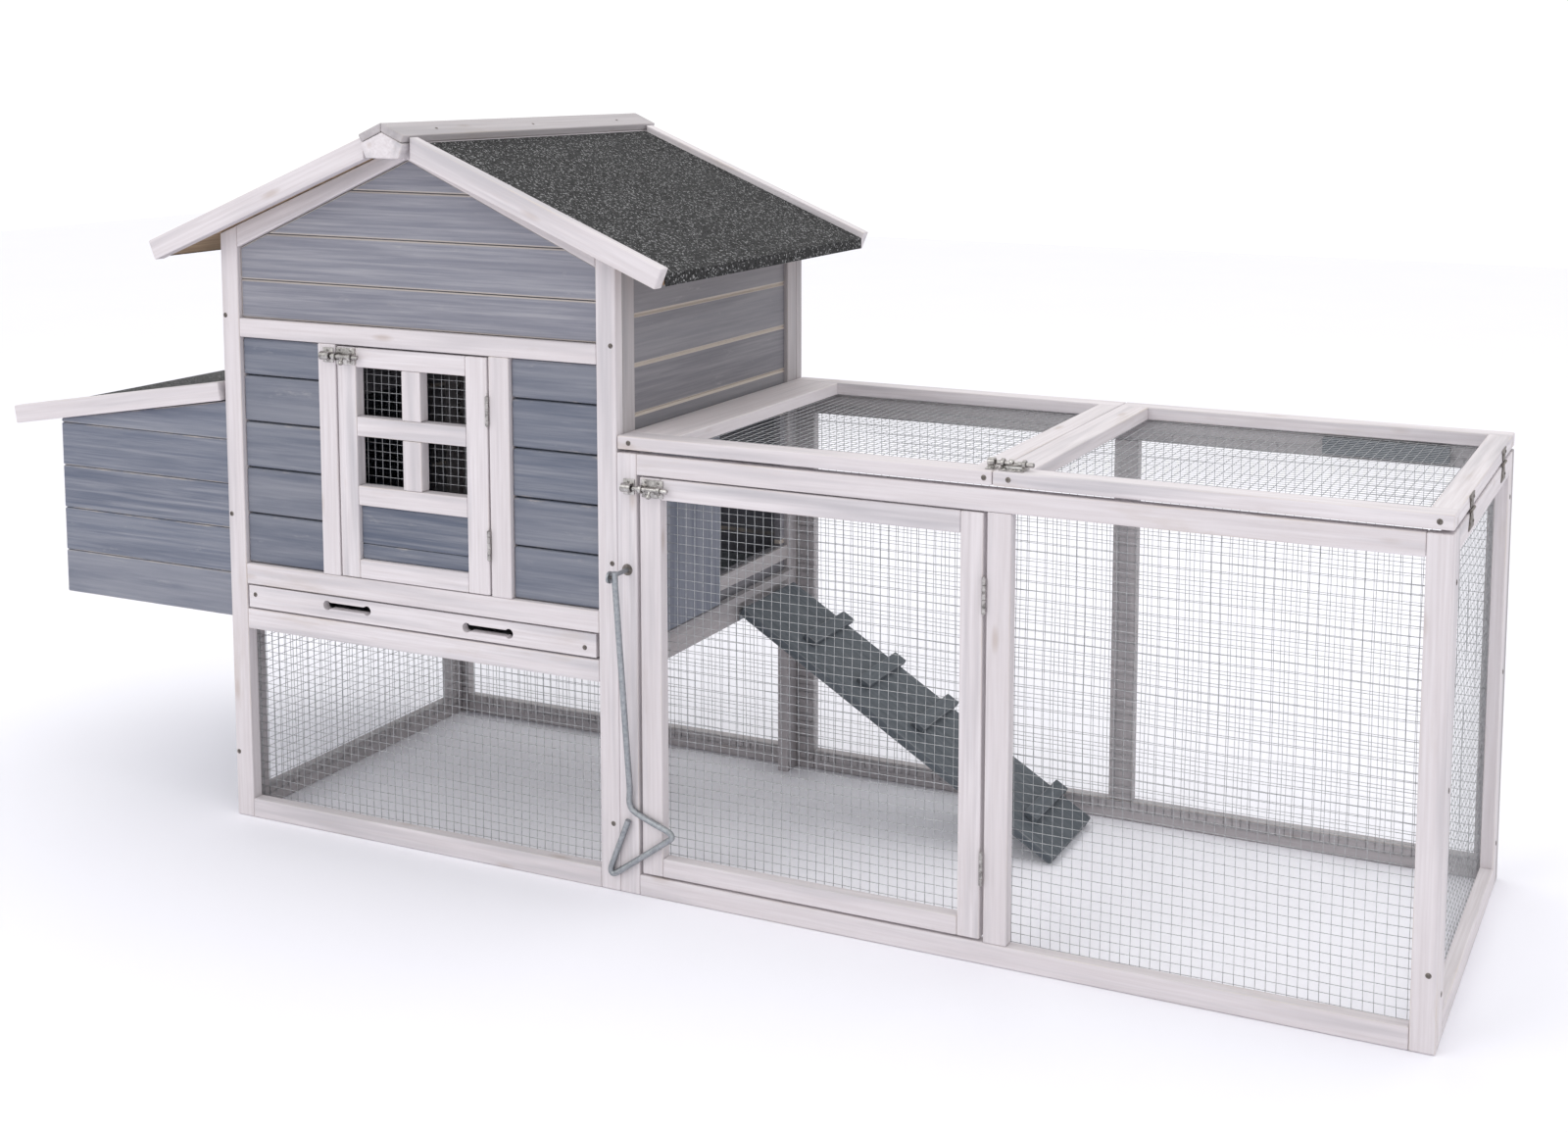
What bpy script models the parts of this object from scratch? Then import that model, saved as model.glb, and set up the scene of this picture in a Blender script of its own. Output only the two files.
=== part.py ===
"""A wooden chicken coop: a gabled house on legs, a nest box on its left and a low mesh run on its right.

Layout numbers are millimetres: X runs along the front from the house's left post, Y runs back from
the front face and Z runs up from the ground. Every mesh is stored in metres about the middle of the
coop's base.
"""

import math

import bmesh
import bpy
from mathutils import Matrix, Vector

MM = 0.001
CENTRE = Vector((660.0, 270.0, 0.0))

# Overall sizes
HOUSE_WIDTH = 660.0
DEPTH = 540.0
RUN_END = 1732.0
RUN_TOP = 600.0

# Timber: every frame is a flat panel of battens
BATTEN = 30.0
THICK = 18.0
SIDING = 10.0
RECESS = 6.0
GROOVE = 2.5
PLANK = 67.6
GAP = 0.3
INNER = THICK + GAP
BACK = DEPTH - THICK

# House front
FLOOR_RAIL = (285.0, 315.0)
SILL_RAIL = (352.0, 382.0)
HEAD_RAIL = (714.0, 741.0)
HOUSE_STILES = ((170.5, 201.0), (459.0, 491.5))
SIDE_BASE = FLOOR_RAIL[1] + GAP

# Roof: a line of the barge boards' top edge, and how far each layer lies below it
RIDGE_X = HOUSE_WIDTH / 2
RIDGE_Z = 1023.9
PITCH = 0.409
FELT_DROP = 10.0
BOARD_DROP = 13.0
UNDER_DROP = 26.0
WALL_DROP = 26.7
BEAM_BASE = 979.0
ROOF_START = 36.0
EAVE = 418.0

# Run
RUN_START = HOUSE_WIDTH + GAP
RUN_POST = 690.0
MID_POST = (1183.0, 1214.0)
DOOR_SPAN = (695.0, 1178.0)
LID_BASE = 604.5
LID_TOP = 622.5
LID_JOINT = 1188.5
SHEET = 1.5

# Joint pivots
HOUSE_DOOR_PIVOT = (458.0, -3.0, 547.0)
RUN_DOOR_PIVOT = (1180.5, -3.0, 300.0)
LID_PIVOT = (1733.5, DEPTH / 2, 603.5)
NEST_PIVOT = (-8.5, DEPTH / 2, 646.5)
RAMP_PIVOT = (664.5, 402.5, 299.0)
HANDLE_PIVOT = (675.3, -43.0, 444.0)

# Pop door: where it stands open, and the opening that it slides across
POP_PANEL = (50.0, 262.0)
POP_OPENING = (268.0, 478.0)
POP_BASE = 330.0
POP_HEAD = 588.0

FINISHES = {
    "frame": ((0.62, 0.58, 0.55), 0.75, 0.0),
    "siding": ((0.20, 0.25, 0.31), 0.65, 0.0),
    "felt": ((0.06, 0.06, 0.065), 0.95, 0.0),
    "timber": ((0.34, 0.22, 0.13), 0.8, 0.0),
    "slate": ((0.10, 0.12, 0.14), 0.7, 0.0),
    "wire": ((0.62, 0.63, 0.64), 0.4, 1.0),
    "nickel": ((0.78, 0.77, 0.74), 0.25, 1.0),
    "zinc": ((0.52, 0.54, 0.56), 0.4, 1.0),
}


def clear_scene():
    for obj in list(bpy.data.objects):
        bpy.data.objects.remove(obj)


def paint(obj, finish):
    """Gives the object its own Principled material."""
    colour, roughness, metallic = FINISHES[finish]
    material = bpy.data.materials.new(obj.name)
    material.use_nodes = True
    shader = material.node_tree.nodes["Principled BSDF"]
    shader.inputs["Base Color"].default_value = (*colour, 1.0)
    shader.inputs["Roughness"].default_value = roughness
    shader.inputs["Metallic"].default_value = metallic
    obj.data.materials.append(material)


def make(name, bm, finish, joint=None):
    """Turns a layout mesh into an object whose origin is its middle, or its joint's empty."""
    bmesh.ops.recalc_face_normals(bm, faces=bm.faces)
    if joint:
        origin = CENTRE + joint.location / MM
    else:
        lows = [min(v.co[i] for v in bm.verts) for i in range(3)]
        highs = [max(v.co[i] for v in bm.verts) for i in range(3)]
        origin = (Vector(lows) + Vector(highs)) / 2
    bmesh.ops.translate(bm, verts=bm.verts, vec=-origin)
    bmesh.ops.scale(bm, verts=bm.verts, vec=(MM, MM, MM))
    mesh = bpy.data.meshes.new(name)
    bm.to_mesh(mesh)
    bm.free()
    obj = bpy.data.objects.new(name, mesh)
    bpy.context.collection.objects.link(obj)
    if joint:
        obj.parent = joint
    else:
        obj.location = (origin - CENTRE) * MM
    paint(obj, finish)
    return obj


def joint_at(name, pivot):
    """An empty on a joint's axis, which carries the pieces that move together."""
    empty = bpy.data.objects.new(name, None)
    empty.location = (Vector(pivot) - CENTRE) * MM
    bpy.context.collection.objects.link(empty)
    return empty


def spot(plane, u, v, w):
    """The layout point at u, v in a plane and w along its normal."""
    return {"XZ": (u, w, v), "YZ": (w, u, v), "XY": (u, v, w)}[plane]


def prism(points, along):
    """A closed solid: the outline through the points, extruded by a vector."""
    bm = bmesh.new()
    face = bm.faces.new([bm.verts.new(p) for p in points])
    grown = bmesh.ops.extrude_face_region(bm, geom=[face])["geom"]
    moved = [item for item in grown if isinstance(item, bmesh.types.BMVert)]
    bmesh.ops.translate(bm, verts=moved, vec=along)
    return bm


def outline(plane, points, low, high):
    """A prism with its outline in a plane, from low to high along the plane's normal."""
    along = Vector(spot(plane, 0.0, 0.0, high - low))
    return prism([spot(plane, u, v, low) for u, v in points], along)


def block(low, high):
    corners = [(low[0], low[1]), (high[0], low[1]), (high[0], high[1]), (low[0], high[1])]
    return outline("XY", corners, low[2], high[2])


def frame(plane, battens, low, high):
    """A flat frame: the cells that its battens cover, extruded through its thickness."""
    us = sorted({u for batten in battens for u in batten[:2]})
    vs = sorted({v for batten in battens for v in batten[2:]})
    bm = bmesh.new()
    corners = {(u, v): None for u in us for v in vs}
    for u0, u1 in zip(us, us[1:]):
        for v0, v1 in zip(vs, vs[1:]):
            u, v = (u0 + u1) / 2, (v0 + v1) / 2
            if not any(b[0] < u < b[1] and b[2] < v < b[3] for b in battens):
                continue
            ring = [(u0, v0), (u1, v0), (u1, v1), (u0, v1)]
            for key in ring:
                corners[key] = corners[key] or bm.verts.new(spot(plane, *key, low))
            bm.faces.new([corners[key] for key in ring])
    grown = bmesh.ops.extrude_face_region(bm, geom=bm.faces[:])["geom"]
    moved = [item for item in grown if isinstance(item, bmesh.types.BMVert)]
    bmesh.ops.translate(bm, verts=moved, vec=spot(plane, 0.0, 0.0, high - low))
    return bm


def boarding(plane, span, heights, face, inward, seams):
    """Boards laid one above another: a profile with a V groove at each seam, extruded along the boards."""
    back = face + inward * SIDING
    profile = [(back, heights[0]), (face, heights[0])]
    for seam in seams:
        profile += [(face, seam - GROOVE), (face + inward * GROOVE, seam), (face, seam + GROOVE)]
    profile += [(face, heights[1]), (back, heights[1])]
    along = Vector(spot(plane, span[1] - span[0], 0.0, 0.0))
    return prism([spot(plane, span[0], z, w) for w, z in profile], along)


def seams_between(low, high, first, pitch):
    """The heights of the seams that lie well inside a panel."""
    edge = 4 * GROOVE
    return [z for z in (first + pitch * k for k in range(-9, 12)) if low + edge < z < high - edge]


def trim(bm, point, normal):
    """Cuts away what lies on the normal's side of a plane and closes the cut."""
    geometry = bm.verts[:] + bm.edges[:] + bm.faces[:]
    bmesh.ops.bisect_plane(bm, geom=geometry, plane_co=point, plane_no=normal, clear_outer=True)
    bmesh.ops.holes_fill(bm, edges=[edge for edge in bm.edges if edge.is_boundary])


def roof_z(x, drop):
    return RIDGE_Z - PITCH * abs(x - RIDGE_X) - drop


def trim_to_roof(bm, drop=WALL_DROP):
    """Cuts a wall piece to both slopes of the roof."""
    for side in (-1, 1):
        trim(bm, (RIDGE_X, 0.0, RIDGE_Z - drop), (side * PITCH, 0.0, 1.0))


def cutter(bm):
    """A hidden object that a Boolean uses."""
    obj = make("cutter", bm, "frame")
    obj.hide_render = True
    obj.display_type = "WIRE"
    return obj


def combine(obj, tools, operation):
    """Adds one exact Boolean to the object for each tool shape."""
    bpy.context.view_layer.update()
    for bm in tools:
        modifier = obj.modifiers.new("Boolean", "BOOLEAN")
        modifier.operation = operation
        modifier.solver = "EXACT"
        modifier.object = cutter(bm)


def rod_between(start, end, radius, segments=24):
    """A capped cylinder from one point to another."""
    start, end = Vector(start), Vector(end)
    bm = bmesh.new()
    turn = (end - start).to_track_quat("Z", "Y").to_matrix().to_4x4()
    place = Matrix.Translation((start + end) / 2) @ turn
    length = (end - start).length
    bmesh.ops.create_cone(
        bm, cap_ends=True, segments=segments, radius1=radius, radius2=radius, depth=length, matrix=place
    )
    return bm


def smooth(obj):
    obj.data.shade_smooth()
    obj.data.set_sharp_from_angle(angle=math.radians(35))


def mirror_x(points):
    return [(HOUSE_WIDTH - x, z) for x, z in reversed(points)]


# House ------------------------------------------------------------------------------------------


def house_frames():
    """Four framed sides: the front and back run the full width and the two ends stand between them."""
    right = HOUSE_WIDTH - BATTEN
    posts = [(0.0, BATTEN, 0.0, 900.0), (right, HOUSE_WIDTH, 0.0, 900.0)]
    rails = [(0.0, 28.0), FLOOR_RAIL, SILL_RAIL, HEAD_RAIL]
    front = posts + [(BATTEN, right, *rail) for rail in rails]
    front += [(*stile, SILL_RAIL[1], HEAD_RAIL[0]) for stile in HOUSE_STILES]
    bm = frame("XZ", front, 0.0, THICK)
    trim_to_roof(bm)
    make("house_front_frame", bm, "frame")

    back = posts + [(BATTEN, right, *rail) for rail in ((0.0, BATTEN), FLOOR_RAIL)]
    bm = frame("XZ", back, BACK, DEPTH)
    trim_to_roof(bm)
    make("house_back_frame", bm, "frame")

    stiles = [(INNER, 48.0, 0.0, 900.0), (492.0, BACK - GAP, 0.0, 900.0)]
    floor_rail = (48.0, 492.0, *FLOOR_RAIL)
    bm = frame("YZ", stiles + [floor_rail, (48.0, 492.0, 0.0, BATTEN)], 0.0, THICK)
    trim_to_roof(bm)
    make("house_left_frame", bm, "frame")

    bm = frame("YZ", stiles + [floor_rail], HOUSE_WIDTH - THICK, HOUSE_WIDTH)
    trim_to_roof(bm)
    make("house_right_frame", bm, "frame")


def house_siding():
    """Tongued boards between the battens, set back from the frames' faces."""
    heights = (SILL_RAIL[1] + GAP, HEAD_RAIL[0] - GAP)
    seams = seams_between(*heights, 388.2, PLANK)
    spans = {
        "siding_front_left": (BATTEN + GAP, HOUSE_STILES[0][0] - GAP),
        "siding_front_right": (HOUSE_STILES[1][1] + GAP, HOUSE_WIDTH - BATTEN - GAP),
    }
    for name, span in spans.items():
        make(name, boarding("XZ", span, heights, RECESS, 1, seams), "siding")

    span = (BATTEN + GAP, HOUSE_WIDTH - BATTEN - GAP)
    bm = boarding("XZ", span, (HEAD_RAIL[1] + GAP, 990.0), RECESS, 1, (797.0, 864.0, 930.0))
    for side in (-1, 1):
        trim(bm, (RIDGE_X, 0.0, 975.5), (side * 0.4437, 0.0, 1.0))
    make("siding_front_gable", bm, "siding")

    heights = (SIDE_BASE, BEAM_BASE - GAP)
    seams = seams_between(*heights, 372.0, PLANK)
    bm = boarding("XZ", span, heights, DEPTH - RECESS, -1, seams)
    trim_to_roof(bm)
    make("siding_back", bm, "siding")

    seams = seams_between(SIDE_BASE, 840.0, 372.0, 67.0)
    span = (48.0 + GAP, 492.0 - GAP)
    bm = boarding("YZ", span, (SIDE_BASE, 900.0), RECESS, 1, seams)
    trim_to_roof(bm)
    left = make("siding_left", bm, "siding")
    combine(left, [block((-50.0, 75.0, 345.0), (60.0, 465.0, 585.0))], "DIFFERENCE")

    bm = boarding("YZ", span, (SIDE_BASE, 900.0), HOUSE_WIDTH - RECESS, -1, seams)
    trim_to_roof(bm)
    right = make("siding_right", bm, "siding")
    opening = block((600.0, POP_OPENING[0], 366.0), (700.0, POP_OPENING[1], 580.0))
    combine(right, [opening], "DIFFERENCE")


def gable_trims():
    """The two battens that follow the gable under the roof."""
    start, tip, shoulder = BATTEN + GAP, RIDGE_X - GAP, 299.5
    under_beam = BEAM_BASE - GAP
    trim_points = [(start, 843.1), (tip, 975.9), (tip, under_beam), (shoulder + 1.5, under_beam)]
    trim_points += [(shoulder, roof_z(shoulder, WALL_DROP)), (start, roof_z(start, WALL_DROP))]
    make("gable_trim_left", outline("XZ", trim_points, 0.0, THICK), "frame")
    make("gable_trim_right", outline("XZ", mirror_x(trim_points), 0.0, THICK), "frame")


def house_meshes():
    """Flat sheets of wire mesh behind the lower frames."""
    across = (INNER, HOUSE_WIDTH - INNER)
    front = block((across[0], INNER, 14.0), (across[1], INNER + SHEET, 300.0))
    make("mesh_house_front", front, "wire")
    back = block((across[0], BACK - GAP - SHEET, 15.0), (across[1], BACK - GAP, 300.0))
    make("mesh_house_back", back, "wire")
    left = block((INNER, 32.0, 15.0), (INNER + SHEET, 508.0, 300.0))
    make("mesh_house_left", left, "wire")


def roof():
    """Two boards with felt over them, four barge boards, the ridge beam and its cap."""
    start, edge = RIDGE_X + ROOF_START, RIDGE_X + EAVE
    board = [(start, roof_z(start, BOARD_DROP)), (edge, roof_z(edge, BOARD_DROP))]
    board += [(edge, roof_z(edge, UNDER_DROP)), (start, roof_z(start, UNDER_DROP))]
    lip, outer, lip_base, felt_base = edge + GAP, edge + 3.0, 826.0, BOARD_DROP - GAP
    felt = [(start, roof_z(start, FELT_DROP)), (outer, roof_z(outer, FELT_DROP)), (outer, lip_base)]
    felt += [(lip, lip_base), (lip, roof_z(lip, felt_base)), (start, roof_z(start, felt_base))]
    upper, lower = RIDGE_X + 38.2, RIDGE_X + 425.0
    barge = [(upper, roof_z(upper, 0.0)), (lower, roof_z(lower, 0.0)), (lower - 11.0, 823.2)]
    barge += [(upper, roof_z(upper, 31.3))]
    for side, shape in (("right", lambda points: points), ("left", mirror_x)):
        make(f"roof_board_{side}", outline("XZ", shape(board), -22.7, 562.7), "timber")
        make(f"roof_felt_{side}", outline("XZ", shape(felt), -22.7, 562.7), "felt")
        make(f"barge_front_{side}", outline("XZ", shape(barge), -41.0, -23.0), "frame")
        make(f"barge_back_{side}", outline("XZ", shape(barge), 563.0, 581.0), "frame")
    beam = [(303.0, BEAM_BASE), (357.0, BEAM_BASE), (365.0, 999.0), (RIDGE_X, 1014.3), (295.0, 999.0)]
    make("ridge_beam", outline("XZ", beam, -51.0, 591.0), "frame")
    cap = [(RIDGE_X, 1027.0), (367.6, 1010.5), (363.2, 1000.4), (RIDGE_X, 1014.9)]
    cap += mirror_x(cap[1:3])
    make("ridge_cap", outline("XZ", cap, -52.0, 592.0), "frame")


def nest_box():
    """A sloping-topped box on the left wall, open to the house, with one partition."""
    side = [(-326.0, 298.5), (-GAP, 298.5), (-GAP, 618.0), (-326.0, 567.0)]
    box = make("nest_box", outline("XZ", side, 4.0, 536.0), "siding")
    hollows = ((14.0, 265.0), (275.0, 526.0))
    tools = [block((-316.0, low, 308.5), (20.0, high, 700.0)) for low, high in hollows]
    combine(box, tools, "DIFFERENCE")


def nest_lid():
    """A board between two trims, with felt over it, hinged along the house wall."""
    joint = joint_at("nest_lid_joint", NEST_PIVOT)
    slope = math.atan(0.161)
    along = Vector((-math.cos(slope), 0.0, -math.sin(slope)))
    down = Vector((math.sin(slope), 0.0, -math.cos(slope)))
    corner = Vector((NEST_PIVOT[0], 0.0, NEST_PIVOT[2] - 0.5))
    length, front, back = 403.5 / math.cos(slope), -6.0, 546.0
    inner, far = front + THICK, back - THICK

    def at(y, drop):
        return corner + Vector((0.0, y, 0.0)) + down * drop

    profile = [(front, 27.0), (front, 0.0), (inner, 0.0), (inner, 10.8), (far, 10.8), (far, 0.0)]
    profile += [(back, 0.0), (back, 27.0), (far, 27.0), (far, 22.0), (inner, 22.0), (inner, 27.0)]
    make("nest_lid", prism([at(*point) for point in profile], along * length), "frame", joint)
    sheet = [(inner + GAP, 8.0), (far - GAP, 8.0), (far - GAP, 10.5), (inner + GAP, 10.5)]
    make("nest_lid_felt", prism([at(*point) for point in sheet], along * length), "felt", joint)


def tray():
    """A shallow pan on a ledge in the house, closed in front by a board with two hand slots."""
    inner, far = INNER, HOUSE_WIDTH - INNER
    ring = [(inner, 50.0, INNER, BACK - GAP), (610.0, far, INNER, BACK - GAP)]
    ring += [(inner, far, INNER, 44.0), (inner, far, 490.0, BACK - GAP)]
    make("tray_ledge", frame("XY", ring, 302.0, 317.7), "timber")
    joint = joint_at("tray_joint", (329.8, 0.0, 334.0))
    pan = make("tray_pan", block((37.0, 12.3, 318.0), (623.0, 488.0, 345.0)), "zinc", joint)
    combine(pan, [block((42.0, -20.0, 322.0), (618.0, 483.0, 400.0))], "DIFFERENCE")
    board = make("tray_front", block((34.0, 0.0, 318.0), (625.5, 12.0, 350.0)), "frame", joint)
    combine(board, [hand_slot(175.6, 245.5, 336.5), hand_slot(416.0, 485.8, 333.5)], "DIFFERENCE")


def hand_slot(left, right, z):
    """A slot with a round hole at each end."""
    radius, half_height, steps = 7.0, 4.7, 12
    rise = math.asin(half_height / radius)
    points = []
    for centre, first in ((right, rise - math.pi), (left, rise)):
        sweep = 2 * math.pi - 2 * rise
        for step in range(steps + 1):
            angle = first + sweep * step / steps
            points.append((centre + radius * math.cos(angle), z + radius * math.sin(angle)))
    return outline("XZ", points, -20.0, 40.0)


def house_door():
    """A framed door: four meshed lights over a boarded panel, hinged at its right edge."""
    joint = joint_at("house_door_joint", HOUSE_DOOR_PIVOT)
    left, right, low, high = 204.0, 456.0, 383.2, 711.5
    inner, far, panel_top, light_base, head = 236.0, 421.0, 488.0, 516.0, 684.0
    battens = [(left, inner, low, high), (far, right, low, high)]
    rails = ((low, 410.0), (panel_top, light_base), (586.5, 614.0), (head, high))
    battens += [(inner, far, *rail) for rail in rails]
    battens += [(314.0, 345.5, light_base, head)]
    make("house_door_frame", frame("XZ", battens, 0.0, THICK), "frame", joint)
    span = (inner + GAP, far - GAP)
    panel = boarding("XZ", span, (410.0 + GAP, panel_top - GAP), RECESS, 1, (432.0,))
    make("house_door_panel", panel, "siding", joint)
    sheet = block((222.0, INNER, 502.0), (436.0, INNER + SHEET, 698.0))
    make("mesh_house_door", sheet, "wire", joint)
    return joint


# Run --------------------------------------------------------------------------------------------


def run_frames():
    """Front, back and end frames of the run, with wire mesh behind them."""
    end_post = (RUN_END - BATTEN, RUN_END, 0.0, RUN_TOP)
    first_post = (RUN_START, RUN_POST, 0.0, RUN_TOP)
    inside = (RUN_POST, RUN_END - BATTEN)
    rails = [(*inside, 0.0, 28.0), (*inside, 572.0, RUN_TOP)]
    battens = [first_post, end_post, *rails, (*MID_POST, 28.0, 572.0)]
    front = make("run_front_frame", frame("XZ", battens, 0.0, THICK), "frame")
    x, z = HANDLE_PIVOT[0], HANDLE_PIVOT[2]
    combine(front, [rod_between((x, -10.0, z), (x, 40.0, z), 4.5)], "DIFFERENCE")

    battens = [first_post, end_post, (*inside, 0.0, BATTEN), (*inside, 570.0, RUN_TOP)]
    battens += [(1177.0, 1213.0, BATTEN, 570.0)]
    make("run_back_frame", frame("XZ", battens, BACK, DEPTH), "frame")

    battens = [(INNER, 48.0, 0.0, RUN_TOP), (492.0, BACK - GAP, 0.0, RUN_TOP)]
    battens += [(48.0, 492.0, 0.0, BATTEN), (48.0, 492.0, 572.0, RUN_TOP)]
    make("run_end_frame", frame("YZ", battens, RUN_END - THICK, RUN_END), "frame")

    inner_end = RUN_END - INNER
    sheet = block((1200.0, INNER, 14.0), (1711.0, INNER + SHEET, 586.0))
    make("mesh_run_front", sheet, "wire")
    sheet = block((662.0, BACK - GAP - SHEET, 15.0), (1711.0, BACK - GAP, 585.0))
    make("mesh_run_back", sheet, "wire")
    sheet = block((inner_end - SHEET, 32.0, 15.0), (inner_end, 508.0, 585.0))
    make("mesh_run_end", sheet, "wire")


def lids():
    """Two framed lids over the run: the left is fixed and the right is hinged along the end frame."""
    rails = (0.0, 32.0), (510.0, DEPTH)
    left, right = RUN_START + 1.0, LID_JOINT - 0.5
    battens = [(left, 737.0, 0.0, DEPTH), (1157.0, right, 0.0, DEPTH)]
    battens += [(left, right, *rail) for rail in rails]
    make("lid_left_frame", frame("XY", battens, LID_BASE, LID_TOP), "frame")
    low, high = LID_BASE - 1.5, LID_BASE - GAP
    make("mesh_lid_left", block((722.0, 16.0, low), (1172.0, 524.0, high)), "wire")

    joint = joint_at("lid_joint", LID_PIVOT)
    left, right = LID_JOINT + 0.5, RUN_END
    battens = [(left, 1230.0, 0.0, DEPTH), (1701.0, right, 0.0, DEPTH)]
    battens += [(left, right, *rail) for rail in rails]
    make("lid_right_frame", frame("XY", battens, LID_BASE, LID_TOP), "frame", joint)
    make("mesh_lid_right", block((1215.0, 16.0, low), (1716.0, 524.0, high)), "wire", joint)
    return joint


def run_door():
    """A framed mesh door between the run's first two posts, hinged at its right edge."""
    joint = joint_at("run_door_joint", RUN_DOOR_PIVOT)
    left, right = DOOR_SPAN
    low, high = 31.0, 570.0
    battens = [(left, 726.0, low, high), (1148.0, right, low, high)]
    battens += [(left, right, low, 56.0), (left, right, 542.0, high)]
    make("run_door_frame", frame("XZ", battens, 0.0, THICK), "frame", joint)
    sheet = block((711.0, INNER, 44.0), (1163.0, INNER + SHEET, 556.0))
    make("mesh_run_door", sheet, "wire", joint)
    return joint


def pop_door():
    """A board that slides across the opening between house and run, in a guide on the house wall."""
    low, high = HOUSE_WIDTH + GAP, HOUSE_WIDTH + 11.0
    start, end, base, head = 34.0, 490.0, POP_BASE - 0.5, POP_HEAD + 0.8
    battens = [(start, end, base - 11.5, base), (start, end, head, 602.0), (start, 48.0, base, head)]
    make("pop_guide", frame("YZ", battens, low, high), "frame")
    joint = joint_at("pop_door_joint", (665.0, POP_PANEL[0], 450.0))
    panel = block((low + 1.0, POP_PANEL[0], POP_BASE), (high - 1.5, POP_PANEL[1], POP_HEAD))
    make("pop_door", panel, "siding", joint)


def pull_rod():
    """The rod that works the pop door, and the wire handle that hangs from it."""
    x, y, z = HANDLE_PIVOT
    rod_joint = joint_at("pull_rod_joint", (x, 0.0, z))
    rod = make("pull_rod", rod_between((x, y + 4.0, z), (x, 100.0, z), 3.0), "zinc", rod_joint)
    combine(rod, [rod_between((x - 1.5, y, z), (x + 1.4, y, z), 8.0)], "UNION")
    smooth(rod)

    joint = joint_at("handle_joint", HANDLE_PIVOT)
    wire = 4.2
    side = x + 3.4 + wire
    rest = -wire - 0.8
    bend = (side, rest, 119.0)
    route = [(side, y - 1.0, z + 8.0), (side, y + 2.0, z - 20.0), bend, (738.0, rest, 97.0)]
    route += [(742.0, rest, 92.0), (738.0, rest, 86.0), (660.0, rest, 28.0), (652.0, rest, 26.0)]
    route += [(649.0, rest, 33.0), (side - 6.5, rest, 103.0)]
    curve = bpy.data.curves.new("pull_handle", "CURVE")
    curve.dimensions = "3D"
    curve.bevel_depth = wire * MM
    curve.bevel_resolution = 3
    curve.use_fill_caps = True
    spline = curve.splines.new("POLY")
    spline.points.add(len(route) - 1)
    for point, place in zip(spline.points, route):
        point.co = (*((Vector(place) - Vector(HANDLE_PIVOT)) * MM), 1.0)
    handle = bpy.data.objects.new("pull_handle", curve)
    bpy.context.collection.objects.link(handle)
    handle.parent = joint
    paint(handle, "zinc")


def ramp():
    """A slate-coloured board with five treads, hung below the pop door."""
    joint = joint_at("ramp_joint", RAMP_PIVOT)
    slope = math.radians(31.4)
    along = Vector((math.cos(slope), 0.0, -math.sin(slope)))
    up = Vector((math.sin(slope), 0.0, math.cos(slope)))
    top = Vector((691.0, 0.0, 300.0))
    thick, length = 13.0, 553.5

    def bar(start, end, low, high, near, far):
        corners = ((start, low), (end, low), (end, high), (start, high))
        points = [top + along * s + up * h + Vector((0.0, near, 0.0)) for s, h in corners]
        return prism(points, Vector((0.0, far - near, 0.0)))

    board = make("ramp", bar(-20.0, length, -thick, 0.0, 320.0, 485.0), "slate", joint)
    treads = [81.0 + 102.5 * k for k in range(5)]
    combine(board, [bar(s - 11.0, s + 11.0, -2.0, 9.0, 362.0, 495.0) for s in treads], "UNION")


# Bolts ------------------------------------------------------------------------------------------


def looped_plate(name, span, loops, place, width, joint=None):
    """A plate with bored loops on it: the body or the keeper of a sliding bolt."""
    centre, normal, across = place
    base, half = centre - normal * 7.2, across * (width / 2)
    corners = [base - half, base + half, base + half + normal * 2.0, base - half + normal * 2.0]
    start = Vector((span[0], 0.0, 0.0))
    plate = prism([start + corner for corner in corners], Vector((span[1] - span[0], 0.0, 0.0)))
    body = make(name, plate, "nickel", joint)

    def bar(low, high, radius):
        return rod_between(centre + Vector((low, 0.0, 0.0)), centre + Vector((high, 0.0, 0.0)), radius)

    combine(body, [bar(low, high, 6.2) for low, high in loops], "UNION")
    combine(body, [bar(span[0] - 9.0, span[1] + 9.0, 3.6)], "DIFFERENCE")


def sliding_bolt(name, keeper_span, body_span, centre, normal, across, joint):
    """A keeper on the fixed side, and on the moving side two loops with a rod that slides along X."""
    place = Vector(centre), Vector(normal), Vector(across)
    edge, loop = 1.0, 4.3
    keeper_loop = (keeper_span[0] + edge, keeper_span[1] - edge)
    looped_plate(f"{name}_keeper", keeper_span, [keeper_loop], place, 21.0)
    start, end = body_span
    loops = [(start, start + loop), (end - loop, end)]
    looped_plate(f"{name}_body", body_span, loops, place, 24.0, joint)
    tip, _, y, z = keeper_span[1] + 0.8, *centre
    bolt_joint = joint_at(f"{name}_joint", (tip, y, z))
    rod = rod_between((tip, y, z), (end + 10.0, y, z), 3.2)
    bolt = make(f"{name}_rod", rod, "nickel", bolt_joint)
    root = Vector(((start + end) / 2, y, z))
    grip = root + place[1] * 6.3 - place[2] * 12.6
    combine(bolt, [rod_between(root, grip, 2.2)], "UNION")
    smooth(bolt)


def bolts(house, run, lid):
    front, up, back = (0.0, -1.0, 0.0), (0.0, 0.0, 1.0), (0.0, 1.0, 0.0)
    off = -GAP - 7.2
    sliding_bolt("house_bolt", (181.0, 199.0), (204.5, 236.0), (0.0, off, 698.5), front, up, house)
    sliding_bolt("run_bolt", (671.0, 688.0), (699.0, 731.0), (0.0, off, 556.0), front, up, run)
    height = LID_TOP + GAP + 7.2
    sliding_bolt("lid_bolt", (1176.0, 1187.0), (1194.0, 1226.0), (0.0, 18.0, height), up, back, lid)


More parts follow.
